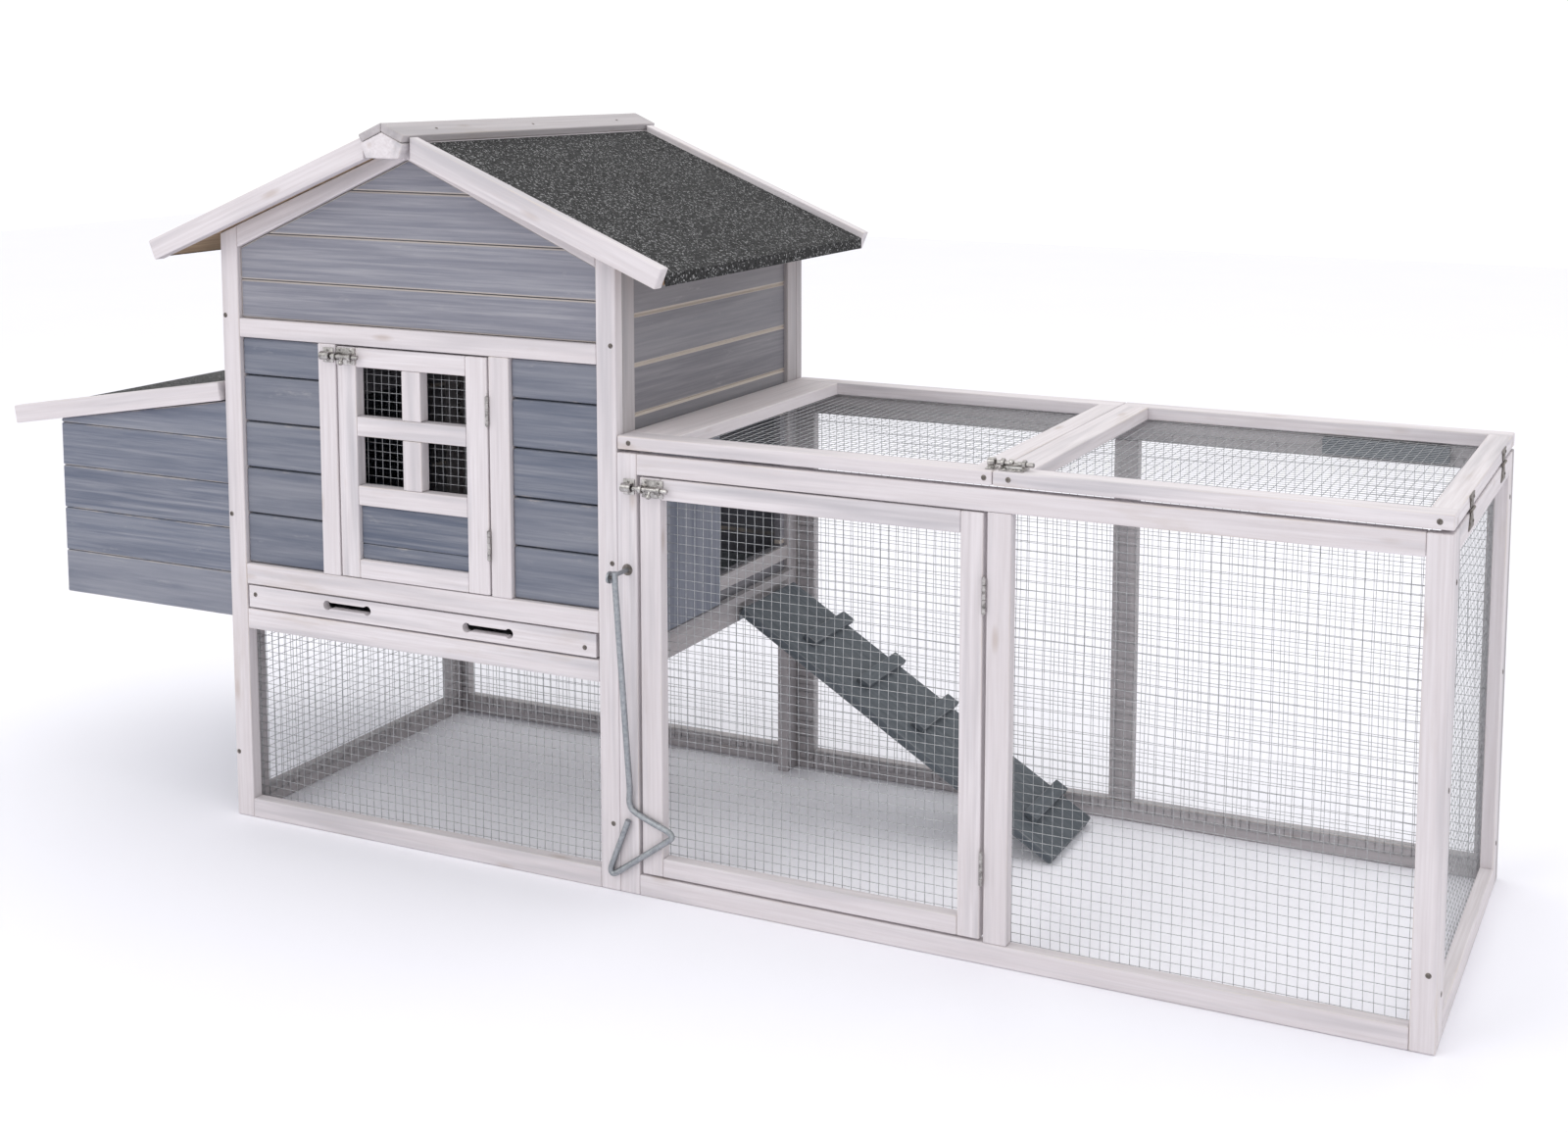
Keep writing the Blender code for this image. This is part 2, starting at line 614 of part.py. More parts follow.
def main():
    clear_scene()
    house_frames()
    house_siding()
    gable_trims()
    house_meshes()
    roof()
    nest_box()
    nest_lid()
    tray()
    house = house_door()
    run_frames()
    lid = lids()
    run = run_door()
    pop_door()
    pull_rod()
    ramp()
    bolts(house, run, lid)


main()
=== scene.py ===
"""The look of the chicken coop: boards, wire mesh, ironmongery, felt, and the studio around them."""

import math
import random

import bmesh
import bpy
from mathutils import Matrix, Vector


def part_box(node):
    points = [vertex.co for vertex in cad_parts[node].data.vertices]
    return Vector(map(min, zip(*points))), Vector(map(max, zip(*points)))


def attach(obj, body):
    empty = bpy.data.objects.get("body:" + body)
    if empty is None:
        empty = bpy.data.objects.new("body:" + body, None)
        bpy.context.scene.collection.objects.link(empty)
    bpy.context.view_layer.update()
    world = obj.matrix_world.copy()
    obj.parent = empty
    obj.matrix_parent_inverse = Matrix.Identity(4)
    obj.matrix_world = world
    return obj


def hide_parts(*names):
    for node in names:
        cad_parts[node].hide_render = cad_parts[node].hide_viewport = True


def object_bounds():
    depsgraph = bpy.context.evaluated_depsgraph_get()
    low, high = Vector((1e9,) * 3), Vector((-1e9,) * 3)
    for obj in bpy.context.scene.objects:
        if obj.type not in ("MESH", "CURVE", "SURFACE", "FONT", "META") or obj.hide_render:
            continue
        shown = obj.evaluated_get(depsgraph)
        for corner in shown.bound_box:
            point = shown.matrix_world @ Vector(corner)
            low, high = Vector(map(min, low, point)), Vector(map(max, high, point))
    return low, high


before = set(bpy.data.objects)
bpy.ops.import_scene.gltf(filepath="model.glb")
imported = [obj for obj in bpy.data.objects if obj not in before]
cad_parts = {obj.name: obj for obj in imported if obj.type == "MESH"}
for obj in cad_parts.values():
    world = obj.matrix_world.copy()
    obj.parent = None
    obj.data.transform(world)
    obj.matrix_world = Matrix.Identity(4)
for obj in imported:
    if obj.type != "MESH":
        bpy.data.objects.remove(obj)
CAD_BOX = [list(corner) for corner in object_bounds()]

# Layout millimetres are counted from the house's front left foot, as the timber is set out.
FOOT = Vector(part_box("house_front_frame")[0])
MM = 0.001
HOUSE = 660.0
RUN_END = 1732.0
RUN_TOP = 600.0
DEPTH = 540.0
THICK = 18.0
BATTEN = 30.0
GAP = 0.2
SIDE_POSTS = ((18.3, 48.0), (492.0, 521.7))
RIDGE_X = HOUSE / 2
RIDGE_Z = 1023.9
PITCH = 0.409
RAMP_SLOPE = math.radians(31.4)
MESH_ACROSS = 12.7
MESH_UP = 12.1
WIRE_RADIUS = 0.42

# The seams of the side and back walls, in metres up from the floor, for the materials that follow them.
SEAM_BASE = 0.372
SEAM_PITCH = 0.067

dice = random.Random(41)


def place(x, y, z):
    """A layout point in the frame's metres."""
    return FOOT + Vector((x, y, z)) * MM


# Materials ----------------------------------------------------------------------------------------


class Shader:
    """A material's node tree, with short calls for the nodes that these materials use."""

    def __init__(self, name, roughness=0.6, metallic=0.0):
        self.material = bpy.data.materials.new(name)
        self.material.use_nodes = True
        self.tree = self.material.node_tree
        self.shader = self.tree.nodes["Principled BSDF"]
        self.shader.inputs["Roughness"].default_value = roughness
        self.shader.inputs["Metallic"].default_value = metallic

    def node(self, kind, **settings):
        made = self.tree.nodes.new(kind)
        for key, value in settings.items():
            setattr(made, key, value)
        return made

    def link(self, source, target):
        self.tree.links.new(source, target)

    def feed(self, value, socket):
        """Sets a socket to a number or a colour, or links it to another node's output."""
        if isinstance(value, (int, float)):
            socket.default_value = value
        elif isinstance(value, tuple):
            socket.default_value = (*value, 1.0)
        else:
            self.link(value, socket)

    def stretched(self, source, scale, turn=(0.0, 0.0, 0.0)):
        mapping = self.node("ShaderNodeMapping")
        mapping.inputs["Scale"].default_value = scale
        mapping.inputs["Rotation"].default_value = turn
        self.link(source, mapping.inputs["Vector"])
        return mapping.outputs["Vector"]

    def noise(self, vector, scale=1.0, detail=4.0, rough=0.55):
        made = self.node("ShaderNodeTexNoise")
        made.inputs["Scale"].default_value = scale
        made.inputs["Detail"].default_value = detail
        made.inputs["Roughness"].default_value = rough
        self.link(vector, made.inputs["Vector"])
        return made.outputs["Fac"]

    def ramp(self, value, stops):
        made = self.node("ShaderNodeValToRGB")
        elements = made.color_ramp.elements
        while len(elements) < len(stops):
            elements.new(0.5)
        for element, (position, colour) in zip(elements, stops):
            element.position = position
            element.color = (*colour, 1.0)
        self.link(value, made.inputs["Fac"])
        return made.outputs["Color"]

    def mask(self, value, low, high):
        made = self.node("ShaderNodeMapRange")
        made.inputs["From Min"].default_value = low
        made.inputs["From Max"].default_value = high
        self.link(value, made.inputs["Value"])
        return made.outputs["Result"]

    def mix(self, factor, first, second):
        made = self.node("ShaderNodeMix", data_type="RGBA")
        self.feed(factor, made.inputs[0])
        self.feed(first, made.inputs[6])
        self.feed(second, made.inputs[7])
        return made.outputs[2]

    def math(self, operation, first, second):
        made = self.node("ShaderNodeMath", operation=operation)
        self.feed(first, made.inputs[0])
        self.feed(second, made.inputs[1])
        return made.outputs["Value"]

    def bump(self, height, strength, distance):
        made = self.node("ShaderNodeBump")
        made.inputs["Strength"].default_value = strength
        made.inputs["Distance"].default_value = distance
        self.link(height, made.inputs["Height"])
        self.link(made.outputs["Normal"], self.shader.inputs["Normal"])

    def attribute(self, name):
        return self.node("ShaderNodeAttribute", attribute_name=name)

    def object_coords(self):
        return self.node("ShaderNodeTexCoord").outputs["Object"]

    def finish(self, colour, roughness=None):
        self.link(colour, self.shader.inputs["Base Color"])
        if roughness is not None:
            self.link(roughness, self.shader.inputs["Roughness"])
        return self.material


def timber_coords(shader, turn):
    """(grain vector, board tone, edge wear), from a board's attributes, or from the object when turned."""
    if turn is None:
        grain = shader.attribute("grain").outputs["Vector"]
        return grain, shader.attribute("tone").outputs["Fac"], shader.attribute("rub").outputs["Fac"]
    grain = shader.stretched(shader.object_coords(), (1.0, 1.0, 1.0), turn)
    split = shader.node("ShaderNodeSeparateXYZ")
    shader.link(shader.object_coords(), split.inputs[0])
    above = shader.math("SUBTRACT", split.outputs["Z"], SEAM_BASE)
    height = shader.math("MULTIPLY", above, 1.0 / SEAM_PITCH)
    chance = shader.node("ShaderNodeTexWhiteNoise", noise_dimensions="1D")
    shader.link(shader.math("FLOOR", height, 0.0), chance.inputs["W"])
    within = shader.math("ABSOLUTE", shader.math("SUBTRACT", shader.math("FRACT", height, 0.0), 0.5), 0.0)
    return grain, chance.outputs["Value"], shader.mask(within, 0.448, 0.458)


def whitewash(name, turn=None, shade=1.0):
    """Pine under a thin greyish-pink wash: faint streaks, knots, and creamy worn edges."""
    shader = Shader(name, 0.7)
    grain, tone, rub = timber_coords(shader, turn)
    streaks = shader.noise(shader.stretched(grain, (7.0, 230.0, 230.0)), 1.0, 7.0, 0.6)
    rings = shader.noise(shader.stretched(grain, (2.2, 42.0, 42.0)), 1.0, 3.0)
    patches = shader.noise(shader.stretched(grain, (4.5, 22.0, 22.0)), 1.0, 5.0, 0.65)
    # A shade below 1 darkens every colour of the finish at once; the darker whitewash copies use it as
    # painted shade.
    pale = (0.730 * shade, 0.690 * shade, 0.715 * shade)
    pink = (0.600 * shade, 0.552 * shade, 0.567 * shade)
    grey = (0.475 * shade, 0.455 * shade, 0.482 * shade)
    bare = (0.470 * shade, 0.385 * shade, 0.320 * shade)
    colour = shader.mix(shader.mask(streaks, 0.36, 0.72), pale, pink)
    colour = shader.mix(shader.mask(rings, 0.50, 0.72), colour, grey)
    rough_patch = shader.math("MULTIPLY", shader.mask(patches, 0.60, 0.80), 0.55)
    colour = shader.mix(rough_patch, colour, bare)
    colour = shader.mix(shader.math("MULTIPLY", tone, 0.45), colour, pink)
    worn = shader.math("MULTIPLY", shader.mask(patches, 0.46, 0.66), shader.math("MULTIPLY", rub, 0.7))
    colour = shader.mix(worn, colour, (0.62 * shade, 0.55 * shade, 0.48 * shade))
    knots = shader.node("ShaderNodeTexVoronoi")
    shader.link(shader.stretched(grain, (6.0, 21.0, 21.0)), knots.inputs["Vector"])
    knots.inputs["Scale"].default_value = 1.0
    knot = shader.math("MULTIPLY", shader.mask(knots.outputs["Distance"], 0.13, 0.04), 0.4)
    colour = shader.mix(knot, colour, (0.36 * shade, 0.27 * shade, 0.21 * shade))
    shader.bump(shader.math("ADD", streaks, rings), 0.35, 0.0006)
    return shader.finish(colour, shader.mask(streaks, -1.2, 1.4))


def stain(name, turn=None, bare=0.0, warm=0.0, shade=1.0):
    """Boards brushed with a thin blue-grey stain: streaks along the grain, pale scuffs, worn chamfers."""
    shader = Shader(name, 0.6)
    grain, tone, rub = timber_coords(shader, turn)
    streaks = shader.noise(shader.stretched(grain, (5.0, 200.0, 200.0)), 1.0, 8.0, 0.62)
    brush = shader.noise(shader.stretched(grain, (3.0, 38.0, 38.0)), 1.0, 6.0, 0.6)
    scuffs = shader.noise(shader.stretched(grain, (16.0, 60.0, 60.0)), 1.0, 7.0, 0.7)
    deep = (0.085 * shade, 0.102 * shade, 0.150 * shade)
    middle = (0.128 * shade, 0.146 * shade, 0.196 * shade)
    light = (0.185 * shade, 0.195 * shade, 0.238 * shade)
    streak = (0.245 * shade, 0.255 * shade, 0.295 * shade)
    base = shader.ramp(tone, [(0.0, deep), (0.5, middle), (1.0, light)])
    colour = shader.mix(shader.mask(streaks, 0.40, 0.75), base, streak)
    colour = shader.mix(shader.math("MULTIPLY", shader.mask(brush, 0.50, 0.74), 0.8), colour, deep)
    colour = shader.mix(warm, colour, (0.205 * shade, 0.175 * shade, 0.160 * shade))
    scuffed = shader.math("MULTIPLY", shader.mask(scuffs, 0.62, 0.78), 0.5)
    colour = shader.mix(scuffed, colour, (0.40, 0.39, 0.39))
    worn = shader.math("MULTIPLY", shader.mask(scuffs, 0.54 - bare * 0.44, 0.76 - bare * 0.44), rub)
    colour = shader.mix(worn, colour, (0.50, 0.445, 0.40))
    shader.bump(shader.math("ADD", streaks, brush), 0.35, 0.0006)
    return shader.finish(colour, shader.mask(brush, -0.9, 1.5))


def raw_timber(name, turn):
    """Unpainted brown softwood."""
    shader = Shader(name, 0.8)
    grain, _, _ = timber_coords(shader, turn)
    streaks = shader.noise(shader.stretched(grain, (5.0, 150.0, 150.0)), 1.0, 7.0)
    dark, middle, pale = (0.21, 0.135, 0.08), (0.36, 0.25, 0.155), (0.50, 0.38, 0.25)
    colour = shader.ramp(streaks, [(0.3, dark), (0.55, middle), (0.8, pale)])
    shader.bump(streaks, 0.4, 0.0006)
    return shader.finish(colour, shader.mask(streaks, -1.5, 1.2))


def slate_paint(name):
    """Dark slate paint, a little chalky, rubbed on its edges."""
    shader = Shader(name, 0.7)
    grain, tone, rub = timber_coords(shader, None)
    streaks = shader.noise(shader.stretched(grain, (8.0, 130.0, 130.0)), 1.0, 7.0, 0.6)
    dust = shader.noise(shader.stretched(grain, (24.0, 44.0, 44.0)), 1.0, 6.0, 0.7)
    colour = shader.mix(shader.mask(streaks, 0.35, 0.75), (0.062, 0.074, 0.088), (0.120, 0.136, 0.152))
    chalk = shader.math("MULTIPLY", shader.mask(dust, 0.58, 0.80), 0.5)
    colour = shader.mix(chalk, colour, (0.26, 0.27, 0.28))
    worn = shader.math("MULTIPLY", rub, shader.mask(dust, 0.4, 0.6))
    colour = shader.mix(worn, colour, (0.24, 0.25, 0.26))
    colour = shader.mix(shader.math("MULTIPLY", tone, 0.3), colour, (0.10, 0.12, 0.14))
    shader.bump(streaks, 0.4, 0.0006)
    return shader.finish(colour, shader.mask(dust, -1.0, 1.2))


def felt():
    """Mineral roofing felt: charcoal granules, each its own grey, with light specks."""
    shader = Shader("roof_felt", 0.95)
    shader.shader.inputs["Specular IOR Level"].default_value = 0.15
    coords = shader.object_coords()
    chips = shader.node("ShaderNodeTexVoronoi")
    chips.inputs["Scale"].default_value = 520.0
    shader.link(coords, chips.inputs["Vector"])
    chip = shader.math("FRACT", shader.math("MULTIPLY", chips.outputs["Color"], 7.3), 0.0)
    clumps = shader.noise(coords, 170.0, 6.0, 0.85)
    cloud = shader.noise(coords, 9.0, 4.0)
    charcoal = (0.008, 0.008, 0.0083)
    grey = (0.072, 0.072, 0.074)
    speck = (0.32, 0.32, 0.325)
    colour = shader.mix(shader.mask(clumps, 0.40, 0.62), charcoal, grey)
    colour = shader.mix(shader.math("MULTIPLY", shader.mask(cloud, 0.4, 0.7), 0.2), colour, grey)
    colour = shader.mix(shader.mask(chip, 0.30, 0.05), colour, charcoal)
    colour = shader.mix(shader.mask(chip, 0.87, 0.94), colour, speck)
    shader.bump(shader.math("ADD", chip, clumps), 0.8, 0.0015)
    return shader.finish(colour, shader.mask(chip, -1.5, 1.0))


def metal(name, pale, dark, roughness, scale=220.0):
    """Plated steel: cloudy plating and fine scratches."""
    shader = Shader(name, roughness, 1.0)
    coords = shader.object_coords()
    cloud = shader.noise(coords, scale, 5.0, 0.65)
    scratches = shader.noise(shader.stretched(coords, (900.0, 900.0, 60.0)), 1.0, 4.0)
    colour = shader.mix(shader.mask(cloud, 0.3, 0.7), dark, pale)
    spread = shader.math("MULTIPLY", scratches, 0.3)
    shader.bump(cloud, 0.1, 0.0003)
    return shader.finish(colour, shader.math("ADD", spread, roughness - 0.12))


LOOKS = {
    "frame": whitewash("whitewash"),
    "frame_x": whitewash("whitewash_along_x", (0.0, 0.0, 0.0)),
    # Painted shade: the inside look is the whitewash darkened to 0.62, standing in for the shade on the
    # back and side frames, the run's back frame and the pop hole's sill.
    "inside": whitewash("whitewash_painted_shade", None, 0.62),
    # Painted shade: the pop hole's guide gets the whitewash darkened to 0.5, for the shade in its groove.
    "painted_shade_y": whitewash("whitewash_guide_painted_shade", (0.0, 0.0, math.radians(90)), 0.5),
    # Painted shade: the ridge cap gets the whitewash darkened to 0.66, for its slope that faces away from
    # the light.
    "ridge": whitewash("whitewash_ridge_painted_shade", None, 0.66),
    "siding": stain("stain", shade=0.95),
    "gable": stain("stain_gable", None, 1.0, 0.30, 1.45),
    "nest": stain("stain_nest", None, 0.25, 0.05, 1.1),
    "siding_x": stain("stain_along_x", (0.0, 0.0, 0.0), 0.4, 0.3, 1.2),
    "siding_y": stain("stain_along_y", (0.0, 0.0, math.radians(90)), 1.0, 0.45, 1.15),
    "timber": raw_timber("raw_timber", (0.0, 0.0, math.radians(90))),
    "slate": slate_paint("slate_paint"),
    "felt": felt(),
    "wire": metal("galvanised_wire", (0.56, 0.57, 0.58), (0.28, 0.29, 0.30), 0.45),
    "zinc": metal("zinc", (0.46, 0.48, 0.50), (0.26, 0.28, 0.30), 0.45),
    "nickel": metal("nickel", (0.66, 0.64, 0.62), (0.17, 0.16, 0.155), 0.26, 110.0),
    "iron": metal("dull_steel", (0.32, 0.29, 0.27), (0.08, 0.07, 0.06), 0.5),
}


def add_piece(name, mesh, look, body, replaced=()):
    """Links a mesh as a piece that rides on a body and stands for the named CAD nodes."""
    mesh.materials.append(LOOKS[look])
    obj = bpy.data.objects.new(name, mesh)
    bpy.context.collection.objects.link(obj)
    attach(obj, body)
    if replaced:
        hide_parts(*replaced)
    return obj


# Boards -------------------------------------------------------------------------------------------


def soften(bm, edges, width):
    """Rounds edges with a two-step bevel, its width in layout millimetres."""
    settings = {"segments": 2, "profile": 0.5, "affect": "EDGES", "clamp_overlap": True}
    bmesh.ops.bevel(bm, geom=edges, offset=width * MM, **settings)


def extruded(bm, outline, depth):
    """A solid from an outline of layout points, extruded by a vector."""
    face = bm.faces.new([bm.verts.new(place(*point)) for point in outline])
    grown = bmesh.ops.extrude_face_region(bm, geom=[face])["geom"]
    moved = [item for item in grown if isinstance(item, bmesh.types.BMVert)]
    bmesh.ops.translate(bm, verts=moved, vec=Vector(depth) * MM)


class Boards:
    """Collects bevelled boards into one mesh, each with its own grain, tone and worn edges."""

    def __init__(self, bevel=1.6):
        self.bevel = bevel
        self.points = []
        self.faces = []
        self.grain = []
        self.tone = []
        self.rub = []

    def add(self, outline, along, grain):
        """A board: an outline of layout points, extruded by a vector, with its grain along a direction."""
        bm = bmesh.new()
        extruded(bm, outline, along)
        bmesh.ops.recalc_face_normals(bm, faces=bm.faces)
        flats = [face.normal.copy() for face in bm.faces]
        soften(bm, bm.edges[:], self.bevel)
        length = Vector(grain).normalized()
        across = length.orthogonal().normalized()
        third = length.cross(across)
        start = Vector((dice.uniform(0, 30), dice.uniform(0, 9), dice.uniform(0, 9)))
        tone, first = dice.random(), len(self.points)
        for vert in bm.verts:
            self.points.append(vert.co.copy())
            local = Vector((vert.co.dot(length), vert.co.dot(across), vert.co.dot(third)))
            self.grain.append(local + start)
            self.tone.append(tone)
            on_flat = any(face.normal.dot(normal) > 0.999 for face in vert.link_faces for normal in flats)
            self.rub.append(0.0 if on_flat else 1.0)
        bm.verts.index_update()
        self.faces += [[first + vert.index for vert in face.verts] for face in bm.faces]
        bm.free()

    def box(self, low, high):
        """An upright board between two corners, with its grain along its longest side."""
        sides = [b - a for a, b in zip(low, high)]
        axis = sides.index(max(sides))
        grain = [1.0 if i == axis else 0.0 for i in range(3)]
        corners = [(low[0], low[1]), (high[0], low[1]), (high[0], high[1]), (low[0], high[1])]
        self.add([(x, y, low[2]) for x, y in corners], (0.0, 0.0, sides[2]), grain)

    def piece(self, name, look, body, replaced=()):
        mesh = bpy.data.meshes.new(name)
        mesh.from_pydata(self.points, [], self.faces)
        for attribute, kind, field, values in (
            ("grain", "FLOAT_VECTOR", "vector", [number for vector in self.grain for number in vector]),
            ("tone", "FLOAT", "value", self.tone),
            ("rub", "FLOAT", "value", self.rub),
        ):
            mesh.attributes.new(attribute, kind, "POINT")
            mesh.attributes[attribute].data.foreach_set(field, values)
        return add_piece(name, mesh, look, body, replaced)


def panel(plane, battens, low, high):
    """Battens of a flat frame: (u0, u1, v0, v1) rectangles in a plane, from low to high across it."""
    boards = Boards()
    for u0, u1, v0, v1 in battens:
        if plane == "XZ":
            boards.box((u0, low, v0), (u1, high, v1))
        elif plane == "YZ":
            boards.box((low, u0, v0), (high, u1, v1))
        else:
            boards.box((u0, v0, low), (u1, v1, high))
    return boards


def clip(points, keep):
    """The part of a polygon where keep(point) is zero or more, keep being linear."""
    kept = []
    for a, b in zip(points, points[1:] + points[:1]):
        first, second = keep(a), keep(b)
        if first >= 0:
            kept.append(a)
        if first * second < 0:
            share = first / (first - second)
            kept.append((a[0] + (b[0] - a[0]) * share, a[1] + (b[1] - a[1]) * share))
    return kept


def roof_z(x, drop):
    """The height of the roof's slope at x, less a drop."""
    return RIDGE_Z - PITCH * abs(x - RIDGE_X) - drop


def mirror(points):
    """The same outline on the other side of the ridge."""
    return [(HOUSE - x, z) for x, z in points]


def upright(boards, outline, low, high, grain):
    """A board with its outline in XZ, from low to high in Y."""
    boards.add([(x, low, z) for x, z in outline], (0.0, high - low, 0.0), grain)


def post(boards, x0, x1, y0, y1, base=0.0):
    """A house post whose top follows the roof."""
    top = [(x0, roof_z(x0, 26.9)), (x1, roof_z(x1, 26.9))]
    upright(boards, [(x0, base), (x1, base), top[1], top[0]], y0, y1, (0.0, 0.0, 1.0))


def house_frames():
    """The house's four frames, the gable's trims, the pop hole's sill and the pop door's board."""
    right = HOUSE - BATTEN
    front = Boards()
    post(front, 0.0, BATTEN, 0.0, THICK)
    post(front, right, HOUSE, 0.0, THICK)
    for low, high in ((0.0, 28.0), (285.0, 315.0), (352.0, 382.0), (714.0, 741.0)):
        front.box((BATTEN + GAP, 0.0, low), (right - GAP, THICK, high))
    for left, far in ((170.5, 201.0), (459.0, 491.5)):
        front.box((left, 0.0, 382.0 + GAP), (far, THICK, 714.0 - GAP))
    front.piece("front_timbers", "frame", "coop", ["house_front_frame"])

    trims = Boards()
    start, tip, shoulder = BATTEN + 0.3, RIDGE_X - 0.3, 299.5
    outline = [(start, 843.1), (tip, 975.9), (tip, 978.7), (shoulder + 1.5, 978.7)]
    outline += [(shoulder, roof_z(shoulder, 26.7)), (start, roof_z(start, 26.7))]
    upright(trims, outline, 0.0, THICK, (1.0, 0.0, PITCH))
    upright(trims, mirror(outline), 0.0, THICK, (1.0, 0.0, -PITCH))
    trims.piece("gable_timbers", "frame", "coop", ["gable_trim_left", "gable_trim_right"])

    back = Boards()
    post(back, 0.0, BATTEN, DEPTH - THICK, DEPTH)
    post(back, right, HOUSE, DEPTH - THICK, DEPTH)
    for low, high in ((0.0, 30.0), (285.0, 315.0)):
        back.box((BATTEN + GAP, DEPTH - THICK, low), (right - GAP, DEPTH, high))
    # Painted shade: the back frame takes the darkened inside whitewash.
    back.piece("back_timbers", "inside", "coop", ["house_back_frame"])

    for name, x0, rails in (
        ("left", 0.0, ((0.0, 30.0), (285.0, 315.0))),
        ("right", HOUSE - THICK, ((285.0, 315.0),)),
    ):
        side = Boards()
        for near, far in SIDE_POSTS:
            post(side, x0, x0 + THICK, near, far)
        for low, high in rails:
            side.box((x0, SIDE_POSTS[0][1] + GAP, low), (x0 + THICK, SIDE_POSTS[1][0] - GAP, high))
        # Painted shade: the side frames take the darkened inside whitewash.
        side.piece(f"{name}_timbers", "inside", "coop", [f"house_{name}_frame"])

    sill = Boards(1.0)
    sill.box((HOUSE - 5.8, 268.0, 344.0), (HOUSE - 0.2, 491.5, 365.5))
    # Painted shade: the sill takes the darkened inside whitewash.
    sill.piece("pop_sill", "inside", "coop")
    door = Boards(1.0)
    door.box((HOUSE + 1.4, 50.1, 330.1), (HOUSE + 9.4, 261.9, 587.9))
    door.piece("pop_board", "siding", "pop_panel", ["pop_door"])


def run_frames():
    """The run's front, back and end frames, and the dark board inside its back rail."""
    posts = [(660.3, 690.0, 0.0, RUN_TOP), (1702.0, RUN_END, 0.0, RUN_TOP)]
    left, right = 690.0 + GAP, 1702.0 - GAP
    rails = [(left, right, 0.0, 28.0), (left, right, 572.0, RUN_TOP)]
    middle = [(1183.0, 1214.0, 28.0 + GAP, 572.0 - GAP)]
    front = panel("XZ", posts + rails + middle, 0.0, THICK)
    front.piece("run_front_timbers", "frame", "coop", ["run_front_frame"])

    rails = [(left, right, 0.0, 30.0), (left, right, 570.0, RUN_TOP)]
    middle = [(1177.0, 1213.0, 30.0 + GAP, 570.0 - GAP)]
    back = panel("XZ", posts + rails + middle, DEPTH - THICK, DEPTH)
    # Painted shade: the run's back frame takes the darkened inside whitewash.
    back.piece("run_back_timbers", "inside", "coop", ["run_back_frame"])

    posts = [(near, far, 0.0, RUN_TOP) for near, far in SIDE_POSTS]
    near, far = SIDE_POSTS[0][1] + GAP, SIDE_POSTS[1][0] - GAP
    rails = [(near, far, 0.0, 30.0), (near, far, 572.0, RUN_TOP)]
    end = panel("YZ", posts + rails, RUN_END - THICK, RUN_END)
    end.piece("run_end_timbers", "frame", "coop", ["run_end_frame"])

    board = Boards()
    board.box((1480.0, 508.0, 577.0), (1652.0, 519.5, RUN_TOP))
    board.piece("slate_board", "slate", "coop")


def lids():
    """The run's fixed left lid and hinged right lid."""
    for name, left, left_in, right_in, right, body in (
        ("lid_left", 661.3, 737.0, 1157.0, 1188.0, "coop"),
        ("lid_right", 1189.0, 1230.0, 1701.0, RUN_END, "lid"),
    ):
        near, far = 32.0 + GAP, 510.0 - GAP
        battens = [(left, right, 0.0, 32.0), (left, right, 510.0, DEPTH)]
        battens += [(left, left_in, near, far), (right_in, right, near, far)]
        lid = panel("XY", battens, 604.5, 622.5)
        lid.piece(f"{name}_timbers", "frame", body, [f"{name}_frame"])


def doors():
    """The run's door, and the house's door with its four lights and its boarded panel."""
    low, high = 31.0, 570.0
    battens = [(695.0, 726.0, low, high), (1148.0, 1178.0, low, high)]
    for base, top in ((low, 56.0), (542.0, high)):
        battens.append((726.0 + GAP, 1148.0 - GAP, base, top))
    door = panel("XZ", battens, 0.0, THICK)
    door.piece("run_door_timbers", "frame", "run_door", ["run_door_frame"])

    low, high = 383.2, 711.5
    battens = [(204.0, 236.0, low, high), (421.0, 456.0, low, high)]
    for base, top in ((low, 410.0), (488.0, 516.0), (586.5, 614.0), (684.0, high)):
        battens.append((236.0 + GAP, 421.0 - GAP, base, top))
    for base, top in ((516.0, 586.5), (614.0, 684.0)):
        battens.append((314.0, 345.5, base + GAP, top - GAP))
    door = panel("XZ", battens, 0.0, THICK)
    door.piece("house_door_timbers", "frame", "house_door", ["house_door_frame"])

    boards = Boards(2.0)
    boards.box((236.3, 6.0, 410.3), (420.7, 16.0, 431.7))
    boards.box((236.3, 6.0, 432.1), (420.7, 16.0, 487.7))
    boards.piece("house_door_boards", "siding", "house_door", ["house_door_panel"])


def front_siding():
    """Front boards between the stiles, and the gable's boards cut to the trims."""
    for name, left, right in (("left", 30.3, 170.2), ("right", 491.8, 629.7)):
        boards = Boards(3.4)
        seams = [382.3] + [388.2 + 67.6 * k for k in range(1, 5)] + [713.7]
        for low, high in zip(seams, seams[1:]):
            boards.box((left, 6.0, low + 1.0), (right, 16.0, high - 1.0))
        for seam in seams[1:-1]:
            boards.box((left, 16.1, seam - 6.0), (right, 17.9, seam + 6.0))
        boards.piece(f"front_boards_{name}", "siding", "coop", [f"siding_front_{name}"])
    boards = Boards(3.0)
    seams = [741.3, 797.0, 864.0, 930.0, 980.0]
    for low, high in zip(seams, seams[1:]):
        shape = [(30.3, low + 0.3), (629.7, low + 0.3), (629.7, high - 0.3), (30.3, high - 0.3)]
        for side in (-1, 1):
            shape = clip(shape, lambda p, s=side: 975.5 - p[1] - s * 0.4437 * (p[0] - RIDGE_X))
        upright(boards, shape, 6.0, 16.0, (1.0, 0.0, 0.0))
    boards.piece("gable_boards", "gable", "coop", ["siding_front_gable"])


